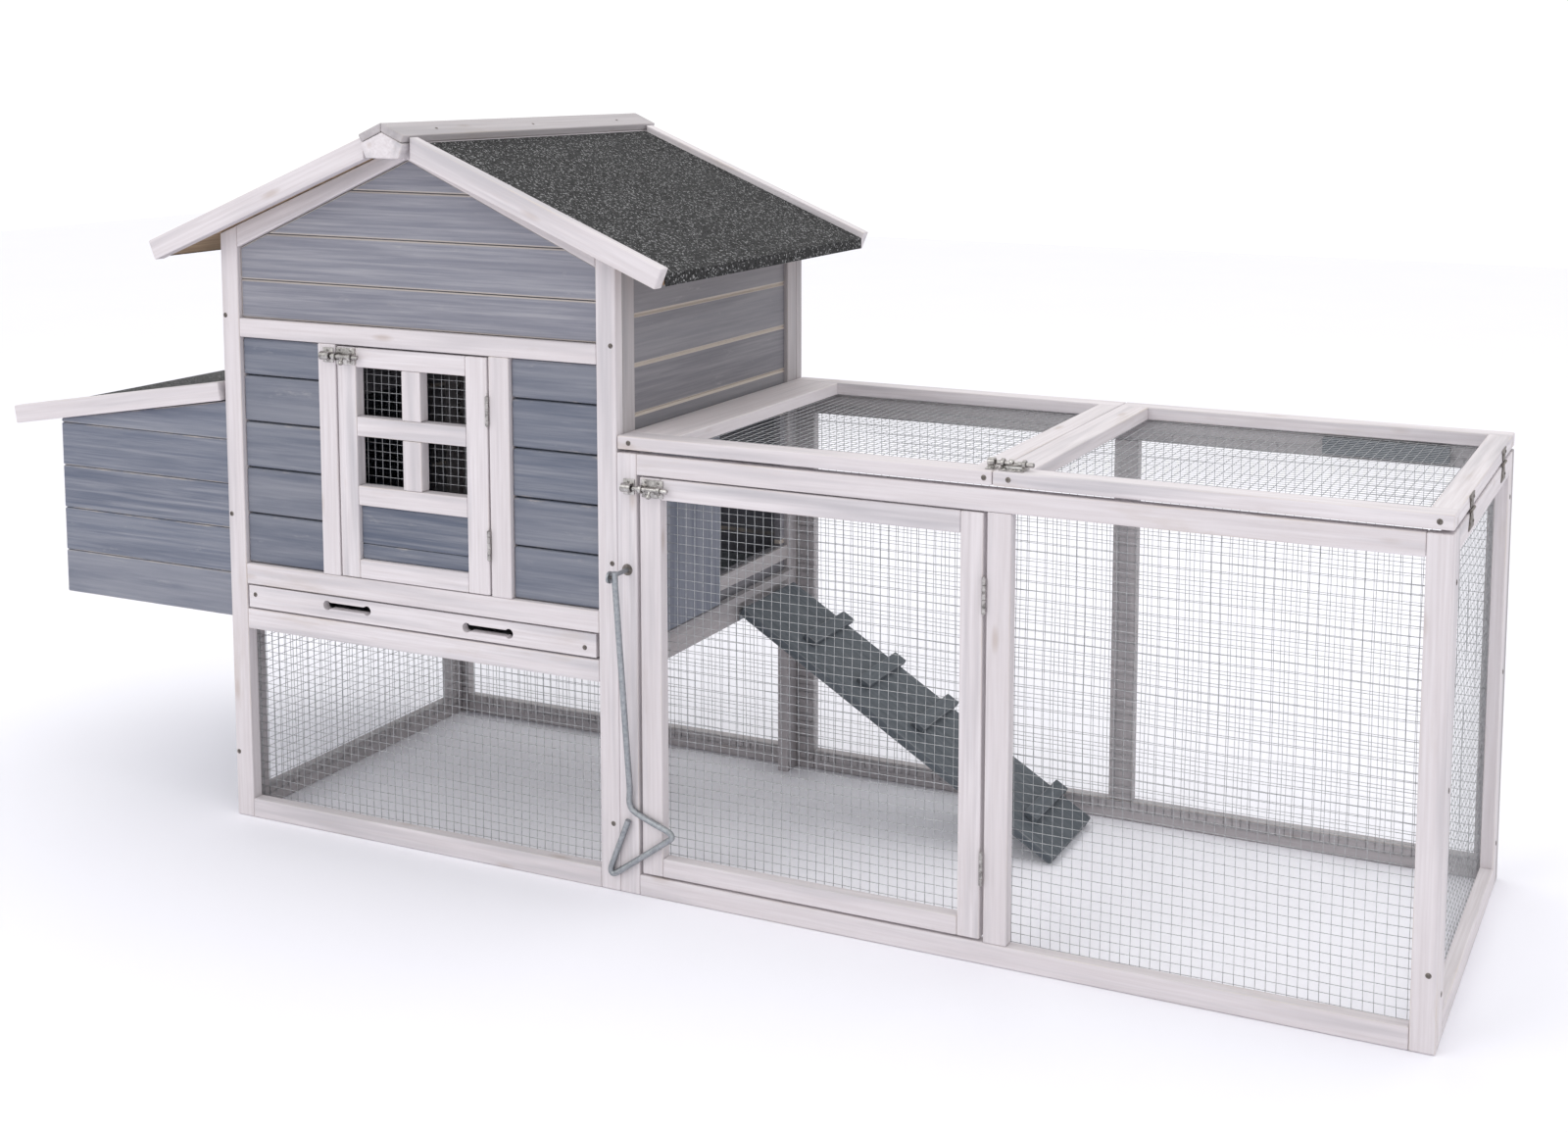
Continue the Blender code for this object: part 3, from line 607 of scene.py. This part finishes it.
def nest_boards():
    """The nest box: boarded walls under a sloping top, a floor and a partition."""
    boards = Boards(2.4)
    seams = [298.5 + 65.6 * k for k in range(6)]

    def under(point):
        return 567.0 + (point[0] + 326.0) * 51.0 / 325.7 - point[1]

    for seam, next_seam in zip(seams, seams[1:]):
        low, high = seam + GAP, next_seam - GAP
        shape = clip([(-326.0, low), (-0.4, low), (-0.4, high), (-326.0, high)], under)
        for y0, y1 in ((4.0, 14.0), (526.0, 536.0)):
            upright(boards, shape, y0, y1, (1.0, 0.0, 0.0))
        if seam < 560.0:
            boards.box((-326.0, 14.2, low), (-316.0, 525.8, high))
    boards.box((-326.0, 14.2, 561.2), (-316.0, 525.8, 567.0))
    boards.box((-315.8, 14.2, 299.0), (-0.4, 525.8, 308.5))
    partition = clip([(-315.8, 308.7), (-0.4, 308.7), (-0.4, 617.0), (-315.8, 617.0)], under)
    upright(boards, partition, 265.0, 275.0, (1.0, 0.0, 0.0))
    boards.piece("nest_boards", "nest", "coop", ["nest_box"])


def nest_lid():
    """The nest box's lid: a board between two deeper trims."""
    slope = math.atan(0.161)
    along = Vector((-math.cos(slope), 0.0, -math.sin(slope)))
    down = Vector((math.sin(slope), 0.0, -math.cos(slope)))
    corner, length = Vector((-8.5, 0.0, 646.0)), 403.5 / math.cos(slope)
    boards = Boards()
    for y0, y1, top, base in (
        (-6.0, 12.0, 0.0, 27.0),
        (12.2, 527.8, 10.8, 22.0),
        (528.0, 546.0, 0.0, 27.0),
    ):
        ends = ((y0, top), (y1, top), (y1, base), (y0, base))
        shape = [corner + Vector((0.0, y, 0.0)) + down * drop for y, drop in ends]
        boards.add(shape, along * length, along)
    boards.piece("nest_lid_boards", "frame", "nest_cover", ["nest_lid"])


def roof_timbers():
    """The barge boards, and the ridge's cap and beam."""
    upper, lower = RIDGE_X + 38.2, RIDGE_X + 425.0
    barge = [(upper, roof_z(upper, 0.0)), (lower, roof_z(lower, 0.0))]
    barge += [(lower - 11.0, 823.2), (upper, roof_z(upper, 31.3))]
    for name, y0, y1 in (("front", -41.0, -23.0), ("back", 563.0, 581.0)):
        boards = Boards()
        upright(boards, barge, y0, y1, (1.0, 0.0, -PITCH))
        upright(boards, mirror(barge), y0, y1, (1.0, 0.0, PITCH))
        boards.piece(f"barge_{name}", "frame", "coop", [f"barge_{name}_left", f"barge_{name}_right"])
    boards = Boards()
    half = [(RIDGE_X + 0.2, 1027.0), (367.6, 1010.5), (363.2, 1000.4), (RIDGE_X + 0.2, 1014.9)]
    upright(boards, half, -52.0, 592.0, (0.0, 1.0, 0.0))
    upright(boards, mirror(half), -52.0, 592.0, (0.0, 1.0, 0.0))
    # Painted shade: the ridge cap takes the darkened ridge whitewash.
    boards.piece("ridge_boards", "ridge", "coop", ["ridge_cap"])
    boards = Boards()
    beam = [(303.0, 979.0), (357.0, 979.0), (365.0, 999.0), (RIDGE_X, 1014.3), (295.0, 999.0)]
    upright(boards, beam, -51.0, 591.0, (0.0, 1.0, 0.0))
    boards.piece("ridge_timber", "frame", "coop", ["ridge_beam"])


def ramp_axes():
    """(top, along, up): the ramp's top corner, its direction down the slope, and its upward normal."""
    along = Vector((math.cos(RAMP_SLOPE), 0.0, -math.sin(RAMP_SLOPE)))
    up = Vector((math.sin(RAMP_SLOPE), 0.0, math.cos(RAMP_SLOPE)))
    return Vector((691.0, 0.0, 300.0)), along, up


def ramp():
    """The ramp's board and its five treads."""
    top, along, up = ramp_axes()
    boards = Boards()

    def bar(s0, s1, h0, h1, y0, y1, grain):
        corners = ((s0, h0), (s1, h0), (s1, h1), (s0, h1))
        shape = [top + along * s + up * h + Vector((0.0, y0, 0.0)) for s, h in corners]
        boards.add(shape, (0.0, y1 - y0, 0.0), grain)

    bar(-20.0, 553.5, -13.0, -0.1, 320.0, 485.0, along)
    for tread in range(5):
        middle = 81.0 + 102.5 * tread
        bar(middle - 11.0, middle + 11.0, 0.1, 9.0, 362.0, 495.0, (0.0, 1.0, 0.0))
    boards.piece("ramp_boards", "slate", "ramp_board", ["ramp"])


# Wire mesh ----------------------------------------------------------------------------------------


def wire_sheet(node, body):
    """Welded mesh in the place of a flat sheet: two layers of thin, slightly wavy wires."""
    low, high = (Vector(corner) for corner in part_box(node))
    sides = high - low
    flat = min(range(3), key=lambda i: sides[i])
    first, second = [i for i in range(3) if i != flat]
    middle = (low[flat] + high[flat]) / 2
    points, faces = [], []
    sway = [dice.uniform(0, 6.28) for _ in range(4)]

    def wave(u, v):
        """In-plane and out-of-plane shifts that bend neighbouring wires together."""
        a = math.sin(u * 19.0 + v * 11.0 + sway[0]) + 0.6 * math.sin(u * 7.0 - v * 31.0 + sway[1])
        b = math.sin(v * 17.0 - u * 13.0 + sway[2]) + 0.6 * math.sin(v * 5.0 + u * 29.0 + sway[3])
        return a * 0.0006, b * 0.0006

    def wire(run, cross, at, lift):
        """A square-sectioned wire along one side of the sheet."""
        steps = max(2, round(sides[run] / 0.038))
        half = WIRE_RADIUS * MM
        for step in range(steps + 1):
            along = low[run] + sides[run] * step / steps
            shift, bulge = wave(along, at)
            centre = Vector((0.0, 0.0, 0.0))
            centre[run], centre[cross], centre[flat] = along, at + shift, middle + lift + bulge * 0.5
            for turn in range(4):
                angle = math.pi / 4 + turn * math.pi / 2
                point = centre.copy()
                point[cross] += half * math.cos(angle)
                point[flat] += half * math.sin(angle)
                points.append(point)
            if step:
                base = len(points) - 8
                for turn in range(4):
                    after = (turn + 1) % 4
                    faces.append([base + turn, base + after, base + 4 + after, base + 4 + turn])
        start = len(points) - 4 * (steps + 1)
        faces.append([start + 3, start + 2, start + 1, start])
        faces.append([len(points) - 4 + turn for turn in range(4)])

    for run, cross, pitch, lift in ((first, second, MESH_UP, -0.35), (second, first, MESH_ACROSS, 0.35)):
        count = int(sides[cross] / (pitch * MM))
        margin = (sides[cross] - count * pitch * MM) / 2
        for k in range(count + 1):
            wire(run, cross, low[cross] + margin + k * pitch * MM, lift * MM)
    mesh = bpy.data.meshes.new(f"{node}_wires")
    mesh.from_pydata(points, [], faces)
    mesh.shade_smooth()
    add_piece(f"{node}_wires", mesh, "wire", body, [node])


# Ironmongery --------------------------------------------------------------------------------------


def turned(bm, centre, axis, profile, segments=20, bore=0.0):
    """A turned shape: (distance along the axis, radius) pairs spun about an axis through a layout point."""
    if bore:
        profile = [(profile[0][0], bore), *profile, (profile[-1][0], bore)]
    axis = Vector(axis).normalized()
    side = axis.orthogonal().normalized()
    third = axis.cross(side)
    rings = []
    for distance, radius in profile:
        ring = []
        for k in range(segments):
            angle = 2 * math.pi * k / segments
            offset = axis * distance + (side * math.cos(angle) + third * math.sin(angle)) * radius
            ring.append(bm.verts.new(place(*(Vector(centre) + offset))))
        rings.append(ring)
    ends = rings[1:] + rings[:1] if bore else rings[1:]
    for lower, upper in zip(rings, ends):
        for k in range(segments):
            after = (k + 1) % segments
            bm.faces.new([lower[k], lower[after], upper[after], upper[k]])
    if not bore:
        bm.faces.new(rings[0][::-1])
        bm.faces.new(rings[-1])


def chamfered(length, radius, end, chamfer):
    """The profile of a pin of this radius, its ends chamfered down to a smaller radius."""
    return [(0.0, end), (chamfer, radius), (length - chamfer, radius), (length, end)]


def screw_head(bm, centre, normal, radius=3.4):
    """A pan head with a cross recess, as a small height field on a disc."""
    normal = Vector(normal).normalized()
    side = normal.orthogonal().normalized()
    side.rotate(Matrix.Rotation(dice.uniform(0, 1.5), 3, normal))
    third = normal.cross(side)
    segments, rings = 32, (0.0, 0.18, 0.36, 0.54, 0.66, 0.82, 0.94, 1.0)
    grid = []
    for share in rings:
        ring = []
        for k in range(segments if share else 1):
            angle = 2 * math.pi * k / segments
            u, v = radius * share * math.cos(angle), radius * share * math.sin(angle)
            in_cross = min(abs(u), abs(v)) < 0.17 * radius and share < 0.6
            height = 0.9 * math.sqrt(max(0.0, 1.02 - share * share)) - (0.8 if in_cross else 0.0)
            ring.append(bm.verts.new(place(*(Vector(centre) + side * u + third * v + normal * height))))
        grid.append(ring)
    for k in range(segments):
        bm.faces.new([grid[0][0], grid[1][k], grid[1][(k + 1) % segments]])
    for lower, upper in zip(grid[1:], grid[2:]):
        for k in range(segments):
            after = (k + 1) % segments
            bm.faces.new([lower[k], upper[k], upper[after], lower[after]])


def iron_piece(name, bm, look, body, replaced=()):
    """Makes a piece of a bmesh, smooth but for its sharp edges."""
    bmesh.ops.recalc_face_normals(bm, faces=bm.faces)
    mesh = bpy.data.meshes.new(name)
    bm.to_mesh(mesh)
    bm.free()
    mesh.shade_smooth()
    mesh.set_sharp_from_angle(angle=math.radians(35))
    return add_piece(name, mesh, look, body, replaced)


def screws():
    """Screw heads on the frames, where the battens are fixed to each other."""
    front_screws = {
        "coop": (
            (5.5, 96.0), (5.8, 453.0), (5.5, 744.0), (650.0, 92.6), (652.0, 449.7),
            (652.5, 740.4), (1721.4, 92.8), (678.3, 613.5), (1177.9, 613.5),
        ),
        "lid": ((1209.3, 613.5), (1715.8, 613.5)),
        "tray": ((45.1, 337.0), (607.6, 330.0)),
    }
    for body, spots in front_screws.items():
        bm = bmesh.new()
        for x, z in spots:
            screw_head(bm, (x, 0.0, z), (0.0, -1.0, 0.0), 3.5)
        if body == "coop":
            for y in (30.0, 510.0):
                for z in (60.0, 300.0, 540.0):
                    screw_head(bm, (RUN_END, y, z), (1.0, 0.0, 0.0), 3.5)
        iron_piece(f"{body}_screws", bm, "iron", body)


def hinge(name, x, y, low, high, body):
    """An upright butt hinge's knuckles and its pin."""
    bm = bmesh.new()
    knuckles = 5
    span = (high - low) / knuckles
    for k in range(knuckles):
        base = k * span
        knuckle = chamfered(span - 0.4, 2.6, 2.2, 0.3)
        turned(bm, (x, y, low + base + 0.2), (0.0, 0.0, 1.0), knuckle)
    pin = chamfered(high - low + 2.4, 1.6, 0.8, 0.4)
    turned(bm, (x, y, low - 1.2), (0.0, 0.0, 1.0), pin)
    iron_piece(name, bm, "nickel", body)


def leaf(bm, corners, depth, bevel=0.4):
    """A thin bevelled plate: an outline of layout points, extruded by a vector."""
    start = len(bm.verts)
    extruded(bm, corners, depth)
    bm.verts.ensure_lookup_table()
    fresh = set(bm.verts[start:])
    edges = [edge for edge in bm.edges if edge.verts[0] in fresh and edge.verts[1] in fresh]
    soften(bm, edges, bevel)


def lid_hinges():
    """Butterfly hinges on the run's end: waisted leaves on the end rail and the lid's edge, and pins."""
    fixed, moving = bmesh.new(), bmesh.new()
    face = RUN_END + GAP
    for y in (128.0, 420.0):
        for bm, base, tip in ((fixed, RUN_TOP, 580.0), (moving, 605.6, 621.5)):
            shape = [(face, y - 9, base), (face, y + 9, base), (face, y + 20, tip), (face, y - 20, tip)]
            leaf(bm, shape, (1.1, 0.0, 0.0))
            for dy in (-12.0, 12.0):
                spot = (face + 1.2, y + dy, base + (tip - base) * 0.65)
                screw_head(bm, spot, (1.0, 0.0, 0.0), 2.2)
        pin = chamfered(30.0, 1.9, 1.4, 0.4)
        turned(fixed, (face + 1.5, y - 15, 603.0), (0.0, 1.0, 0.0), pin)
    iron_piece("lid_hinge_fixed", fixed, "iron", "coop")
    iron_piece("lid_hinge_moving", moving, "iron", "lid")


def ramp_hinges():
    """Two butt hinges under the ramp's top edge: a leaf on the wall, a barrel, a leaf under the board."""
    top, along, up = ramp_axes()
    width, face = 24.0, HOUSE + 0.4
    fixed, moving = bmesh.new(), bmesh.new()
    for middle in (345.0, 455.0):
        near, far = middle - width / 2, middle + width / 2
        barrel = chamfered(width, 2.3, 1.6, 0.4)
        turned(fixed, (664.3, near, 299.0), (0.0, 1.0, 0.0), barrel)
        wall = [(face, near, 287.0), (face, far, 287.0), (face, far, 303.0), (face, near, 303.0)]
        leaf(fixed, wall, (1.3, 0.0, 0.0))
        corner = top + along * -19.0 + up * -14.4 + Vector((0.0, near, 0.0))
        across, down = Vector((0.0, width, 0.0)), along * 22.0
        leaf(moving, [corner, corner + down, corner + down + across, corner + across], up * 1.2)
    iron_piece("ramp_hinge_leaves", fixed, "zinc", "coop")
    iron_piece("ramp_hinge_plates", moving, "zinc", "ramp_board")


def bolt(name, keeper_span, body_span, centre, normal, across, body):
    """A sliding bolt: a plate with one loop, a plate with two, and a rod with its knob between the two."""
    normal, across, centre = Vector(normal), Vector(across), Vector(centre)

    def plate(bm, span, width, loops, holes):
        """A plate with bored loops, (start, length) each, and a pair of screws at each hole."""
        start, end = span
        half = across * (width / 2)
        base = centre - normal * 7.2
        near, far = base + Vector((start, 0.0, 0.0)), base + Vector((end, 0.0, 0.0))
        leaf(bm, [near - half, far - half, far + half, near + half], normal * 1.6, 0.7)
        for x, length in loops:
            loop = chamfered(length, 5.9, 5.2, 0.5)
            turned(bm, centre + Vector((x, 0.0, 0.0)), (1.0, 0.0, 0.0), loop, 24, 3.5)
            foot = base + normal * 1.2 + Vector((x + 0.3, 0.0, 0.0))
            step, side = Vector((length - 0.6, 0.0, 0.0)), across * 5.4
            leaf(bm, [foot - side, foot + step - side, foot + step + side, foot + side], normal * 2.2, 0.3)
        for x in holes:
            for sign in (-1, 1):
                spot = base + normal * 1.5 + across * sign * (width / 2 - 3.2) + Vector((x, 0.0, 0.0))
                screw_head(bm, spot, normal, 2.1)

    keeper = bmesh.new()
    near, far = keeper_span
    plate(keeper, keeper_span, 21.0, [(near + 1.0, far - near - 2.0)], [(near + far) / 2])
    iron_piece(f"{name}_staple", keeper, "nickel", "coop", [f"{name}_keeper"])
    start, end = body_span
    bm = bmesh.new()
    plate(bm, body_span, 24.0, [(start, 4.3), (end - 4.3, 4.3)], [start + 6.5, end - 6.5])
    iron_piece(f"{name}_plate", bm, "nickel", body, [f"{name}_body"])
    tip, middle = far + 0.8, (start + end) / 2
    bm = bmesh.new()
    rod = chamfered(end + 10.0 - tip, 3.1, 2.2, 0.8)
    turned(bm, centre + Vector((tip, 0.0, 0.0)), (1.0, 0.0, 0.0), rod, 24)
    knob = [(2.0, 1.9), (6.5, 1.9), (7.2, 3.0), (9.4, 3.6), (11.6, 3.0), (12.4, 1.6)]
    turned(bm, centre + Vector((middle, 0.0, 0.0)), normal * 0.45 - across * 0.9, knob, 20)
    iron_piece(f"{name}_slider", bm, "nickel", name, [f"{name}_rod"])


def bolts():
    """The bolts of the house's door, the run's door and the right lid."""
    front, up, back = (0.0, -1.0, 0.0), (0.0, 0.0, 1.0), (0.0, 1.0, 0.0)
    bolt("house_bolt", (181.0, 199.0), (204.5, 236.0), (0.0, -7.5, 698.5), front, up, "house_door")
    bolt("run_bolt", (671.0, 688.0), (699.0, 731.0), (0.0, -7.5, 556.0), front, up, "run_door")
    bolt("lid_bolt", (1176.0, 1187.0), (1194.0, 1226.0), (0.0, 18.0, 630.0), up, back, "lid")


def wire_handle():
    """The pull handle: round wire bent to a three-cornered grip, hanging from a pin on the rod's end."""
    rest, side = -5.0, 682.9
    corners = [
        (side, -44.0, 452.0), (side, -42.0, 430.0), (side - 1.5, rest - 4.0, 150.0),
        (side, rest, 119.0), (736.0, rest, 98.0), (743.0, rest, 91.5), (738.0, rest, 85.0),
        (659.0, rest, 28.5), (651.0, rest, 26.0), (649.0, rest, 34.0), (side - 6.5, rest, 103.0),
    ]
    curve = bpy.data.curves.new("pull_wire", "CURVE")
    curve.dimensions = "3D"
    curve.bevel_depth = 4.1 * MM
    curve.bevel_resolution = 5
    curve.use_fill_caps = True
    curve.resolution_u = 6
    spline = curve.splines.new("BEZIER")
    spline.bezier_points.add(len(corners) - 1)
    for k, (point, corner) in enumerate(zip(spline.bezier_points, corners)):
        here = place(*corner)
        before = place(*corners[max(0, k - 1)])
        after = place(*corners[min(len(corners) - 1, k + 1)])
        direction = (after - before).normalized()
        reach = 0.33 * min((after - here).length or 1.0, (here - before).length or 1.0)
        point.co = here
        point.handle_left = here - direction * reach
        point.handle_right = here + direction * reach
    curve.materials.append(LOOKS["zinc"])
    obj = bpy.data.objects.new("pull_wire", curve)
    bpy.context.collection.objects.link(obj)
    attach(obj, "handle")
    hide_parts("pull_handle")
    bm = bmesh.new()
    pin = [(0.0, 1.4), (0.5, 2.2), (12.4, 2.2), (13.0, 1.4)]
    turned(bm, (673.0, -43.0, 444.0), (1.0, 0.0, 0.0), pin, 16)
    iron_piece("pull_pin", bm, "iron", "pull_rod_body")
    bm = bmesh.new()
    bush = [(0.0, 4.6), (0.0, 7.6), (0.8, 7.8), (0.8, 4.6)]
    turned(bm, (675.3, -0.9, 444.0), (0.0, 1.0, 0.0), bush, 24)
    iron_piece("rod_bush", bm, "iron", "coop")


def nails():
    """Dark nail heads along the back barge boards and the ridge."""
    bm = bmesh.new()
    for side in (-1, 1):
        for distance in (70.0, 230.0, 390.0):
            x = RIDGE_X + side * distance
            screw_head(bm, (x, 581.0, roof_z(x, 15.0)), (0.0, 1.0, 0.0), 2.2)
        for y in (40.0, 270.0, 500.0):
            spot = (RIDGE_X + side * 22.0, y, 1027.0 - 22.0 * 0.4388 + 0.1)
            screw_head(bm, spot, (side * 0.4, 0.0, 1.0), 2.2)
    iron_piece("roof_nails", bm, "iron", "coop")


def keep_cad_nodes():
    """The CAD solids whose shape is right get their finish, with softened edges."""
    finishes = {
        "siding_back": "siding_x",
        "siding_left": "siding_y",
        "siding_right": "siding_y",
        # Painted shade: the pop hole's guide takes the darkened whitewash.
        "pop_guide": "painted_shade_y",
        "tray_front": "frame_x",
        "tray_ledge": "timber",
        "tray_pan": "zinc",
        "roof_board_left": "timber",
        "roof_board_right": "timber",
        "roof_felt_left": "felt",
        "roof_felt_right": "felt",
        "nest_lid_felt": "felt",
        "pull_rod": "zinc",
    }
    for node, look in finishes.items():
        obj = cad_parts[node]
        obj.data.materials.clear()
        obj.data.materials.append(LOOKS[look])
        bevel = obj.modifiers.new("Bevel", "BEVEL")
        bevel.width = 0.0004 if look == "zinc" else 0.0009
        bevel.segments = 2
        bevel.limit_method = "ANGLE"
        bevel.angle_limit = math.radians(40)


# Studio -------------------------------------------------------------------------------------------


def studio():
    """A pale floor, a white surround and soft lamps."""
    world = bpy.data.worlds.new("studio")
    bpy.context.scene.world = world
    world.use_nodes = True
    background = world.node_tree.nodes["Background"]
    background.inputs["Color"].default_value = (1.0, 1.0, 1.0, 1.0)
    background.inputs["Strength"].default_value = 1.05
    mesh = bpy.data.meshes.new("floor")
    reach = 9.0
    corners = [(-reach, -reach, 0.0), (reach, -reach, 0.0), (reach, reach, 0.0), (-reach, reach, 0.0)]
    mesh.from_pydata(corners, [], [(0, 1, 2, 3)])
    floor = bpy.data.objects.new("floor", mesh)
    floor.location.z = CAD_BOX[0][2] - 0.0005
    shader = Shader("floor_paper", 0.9)
    cloud = shader.noise(shader.object_coords(), 2.0, 3.0)
    colour = shader.mix(cloud, (0.92, 0.915, 0.975), (0.94, 0.935, 0.985))
    mesh.materials.append(shader.finish(colour))
    bpy.context.collection.objects.link(floor)
    for name, where, energy, size in (
        ("key", (-1.6, -3.6, 3.4), 32.0, 2.4),
        ("top", (0.3, 0.6, 4.2), 22.0, 3.0),
    ):
        data = bpy.data.lights.new(name, "AREA")
        data.energy = energy
        data.size = size
        lamp = bpy.data.objects.new(name, data)
        lamp.location = where
        aim = Vector((0.0, 0.0, 0.4)) - Vector(where)
        lamp.rotation_euler = aim.to_track_quat("-Z", "Y").to_euler()
        bpy.context.collection.objects.link(lamp)
    bpy.context.scene.view_settings.view_transform = "Standard"


def camera():
    """The view from the front right, a little above the lids, with the lens shifted down."""
    data = bpy.data.cameras.new("camera")
    data.sensor_width = 36.0
    data.lens = 45.155
    data.shift_x = -0.0781
    data.shift_y = -0.183
    yaw, pitch, roll = 0.413566, 0.109407, 0.006391
    level = math.cos(pitch)
    forward = Vector((-math.sin(yaw) * level, math.cos(yaw) * level, -math.sin(pitch)))
    right = Vector((math.cos(yaw), math.sin(yaw), 0.0))
    above = right.cross(forward)
    side = right * math.cos(roll) + above * math.sin(roll)
    up = above * math.cos(roll) - right * math.sin(roll)
    turn = Matrix((side, up, -forward)).transposed()
    obj = bpy.data.objects.new("camera", data)
    obj.matrix_world = Matrix.Translation(place(2028.98, -2174.95, 1110.44)) @ turn.to_4x4()
    bpy.context.collection.objects.link(obj)
    bpy.context.scene.camera = obj


def main():
    """Builds every piece, then the studio and the camera."""
    house_frames()
    run_frames()
    lids()
    doors()
    front_siding()
    nest_boards()
    nest_lid()
    roof_timbers()
    ramp()
    bodies = {"mesh_house_door": "house_door", "mesh_run_door": "run_door", "mesh_lid_right": "lid"}
    for node in sorted(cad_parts):
        if node.startswith("mesh_"):
            wire_sheet(node, bodies.get(node, "coop"))
    screws()
    hinge("house_door_hinge_low", 457.6, -2.4, 433.0, 474.0, "house_door")
    hinge("house_door_hinge_high", 457.6, -2.4, 618.5, 659.0, "house_door")
    hinge("run_door_hinge_low", 1180.5, -2.4, 102.0, 145.0, "run_door")
    hinge("run_door_hinge_high", 1180.5, -2.4, 445.0, 491.0, "run_door")
    lid_hinges()
    ramp_hinges()
    bolts()
    wire_handle()
    nails()
    keep_cad_nodes()
    studio()
    camera()


main()
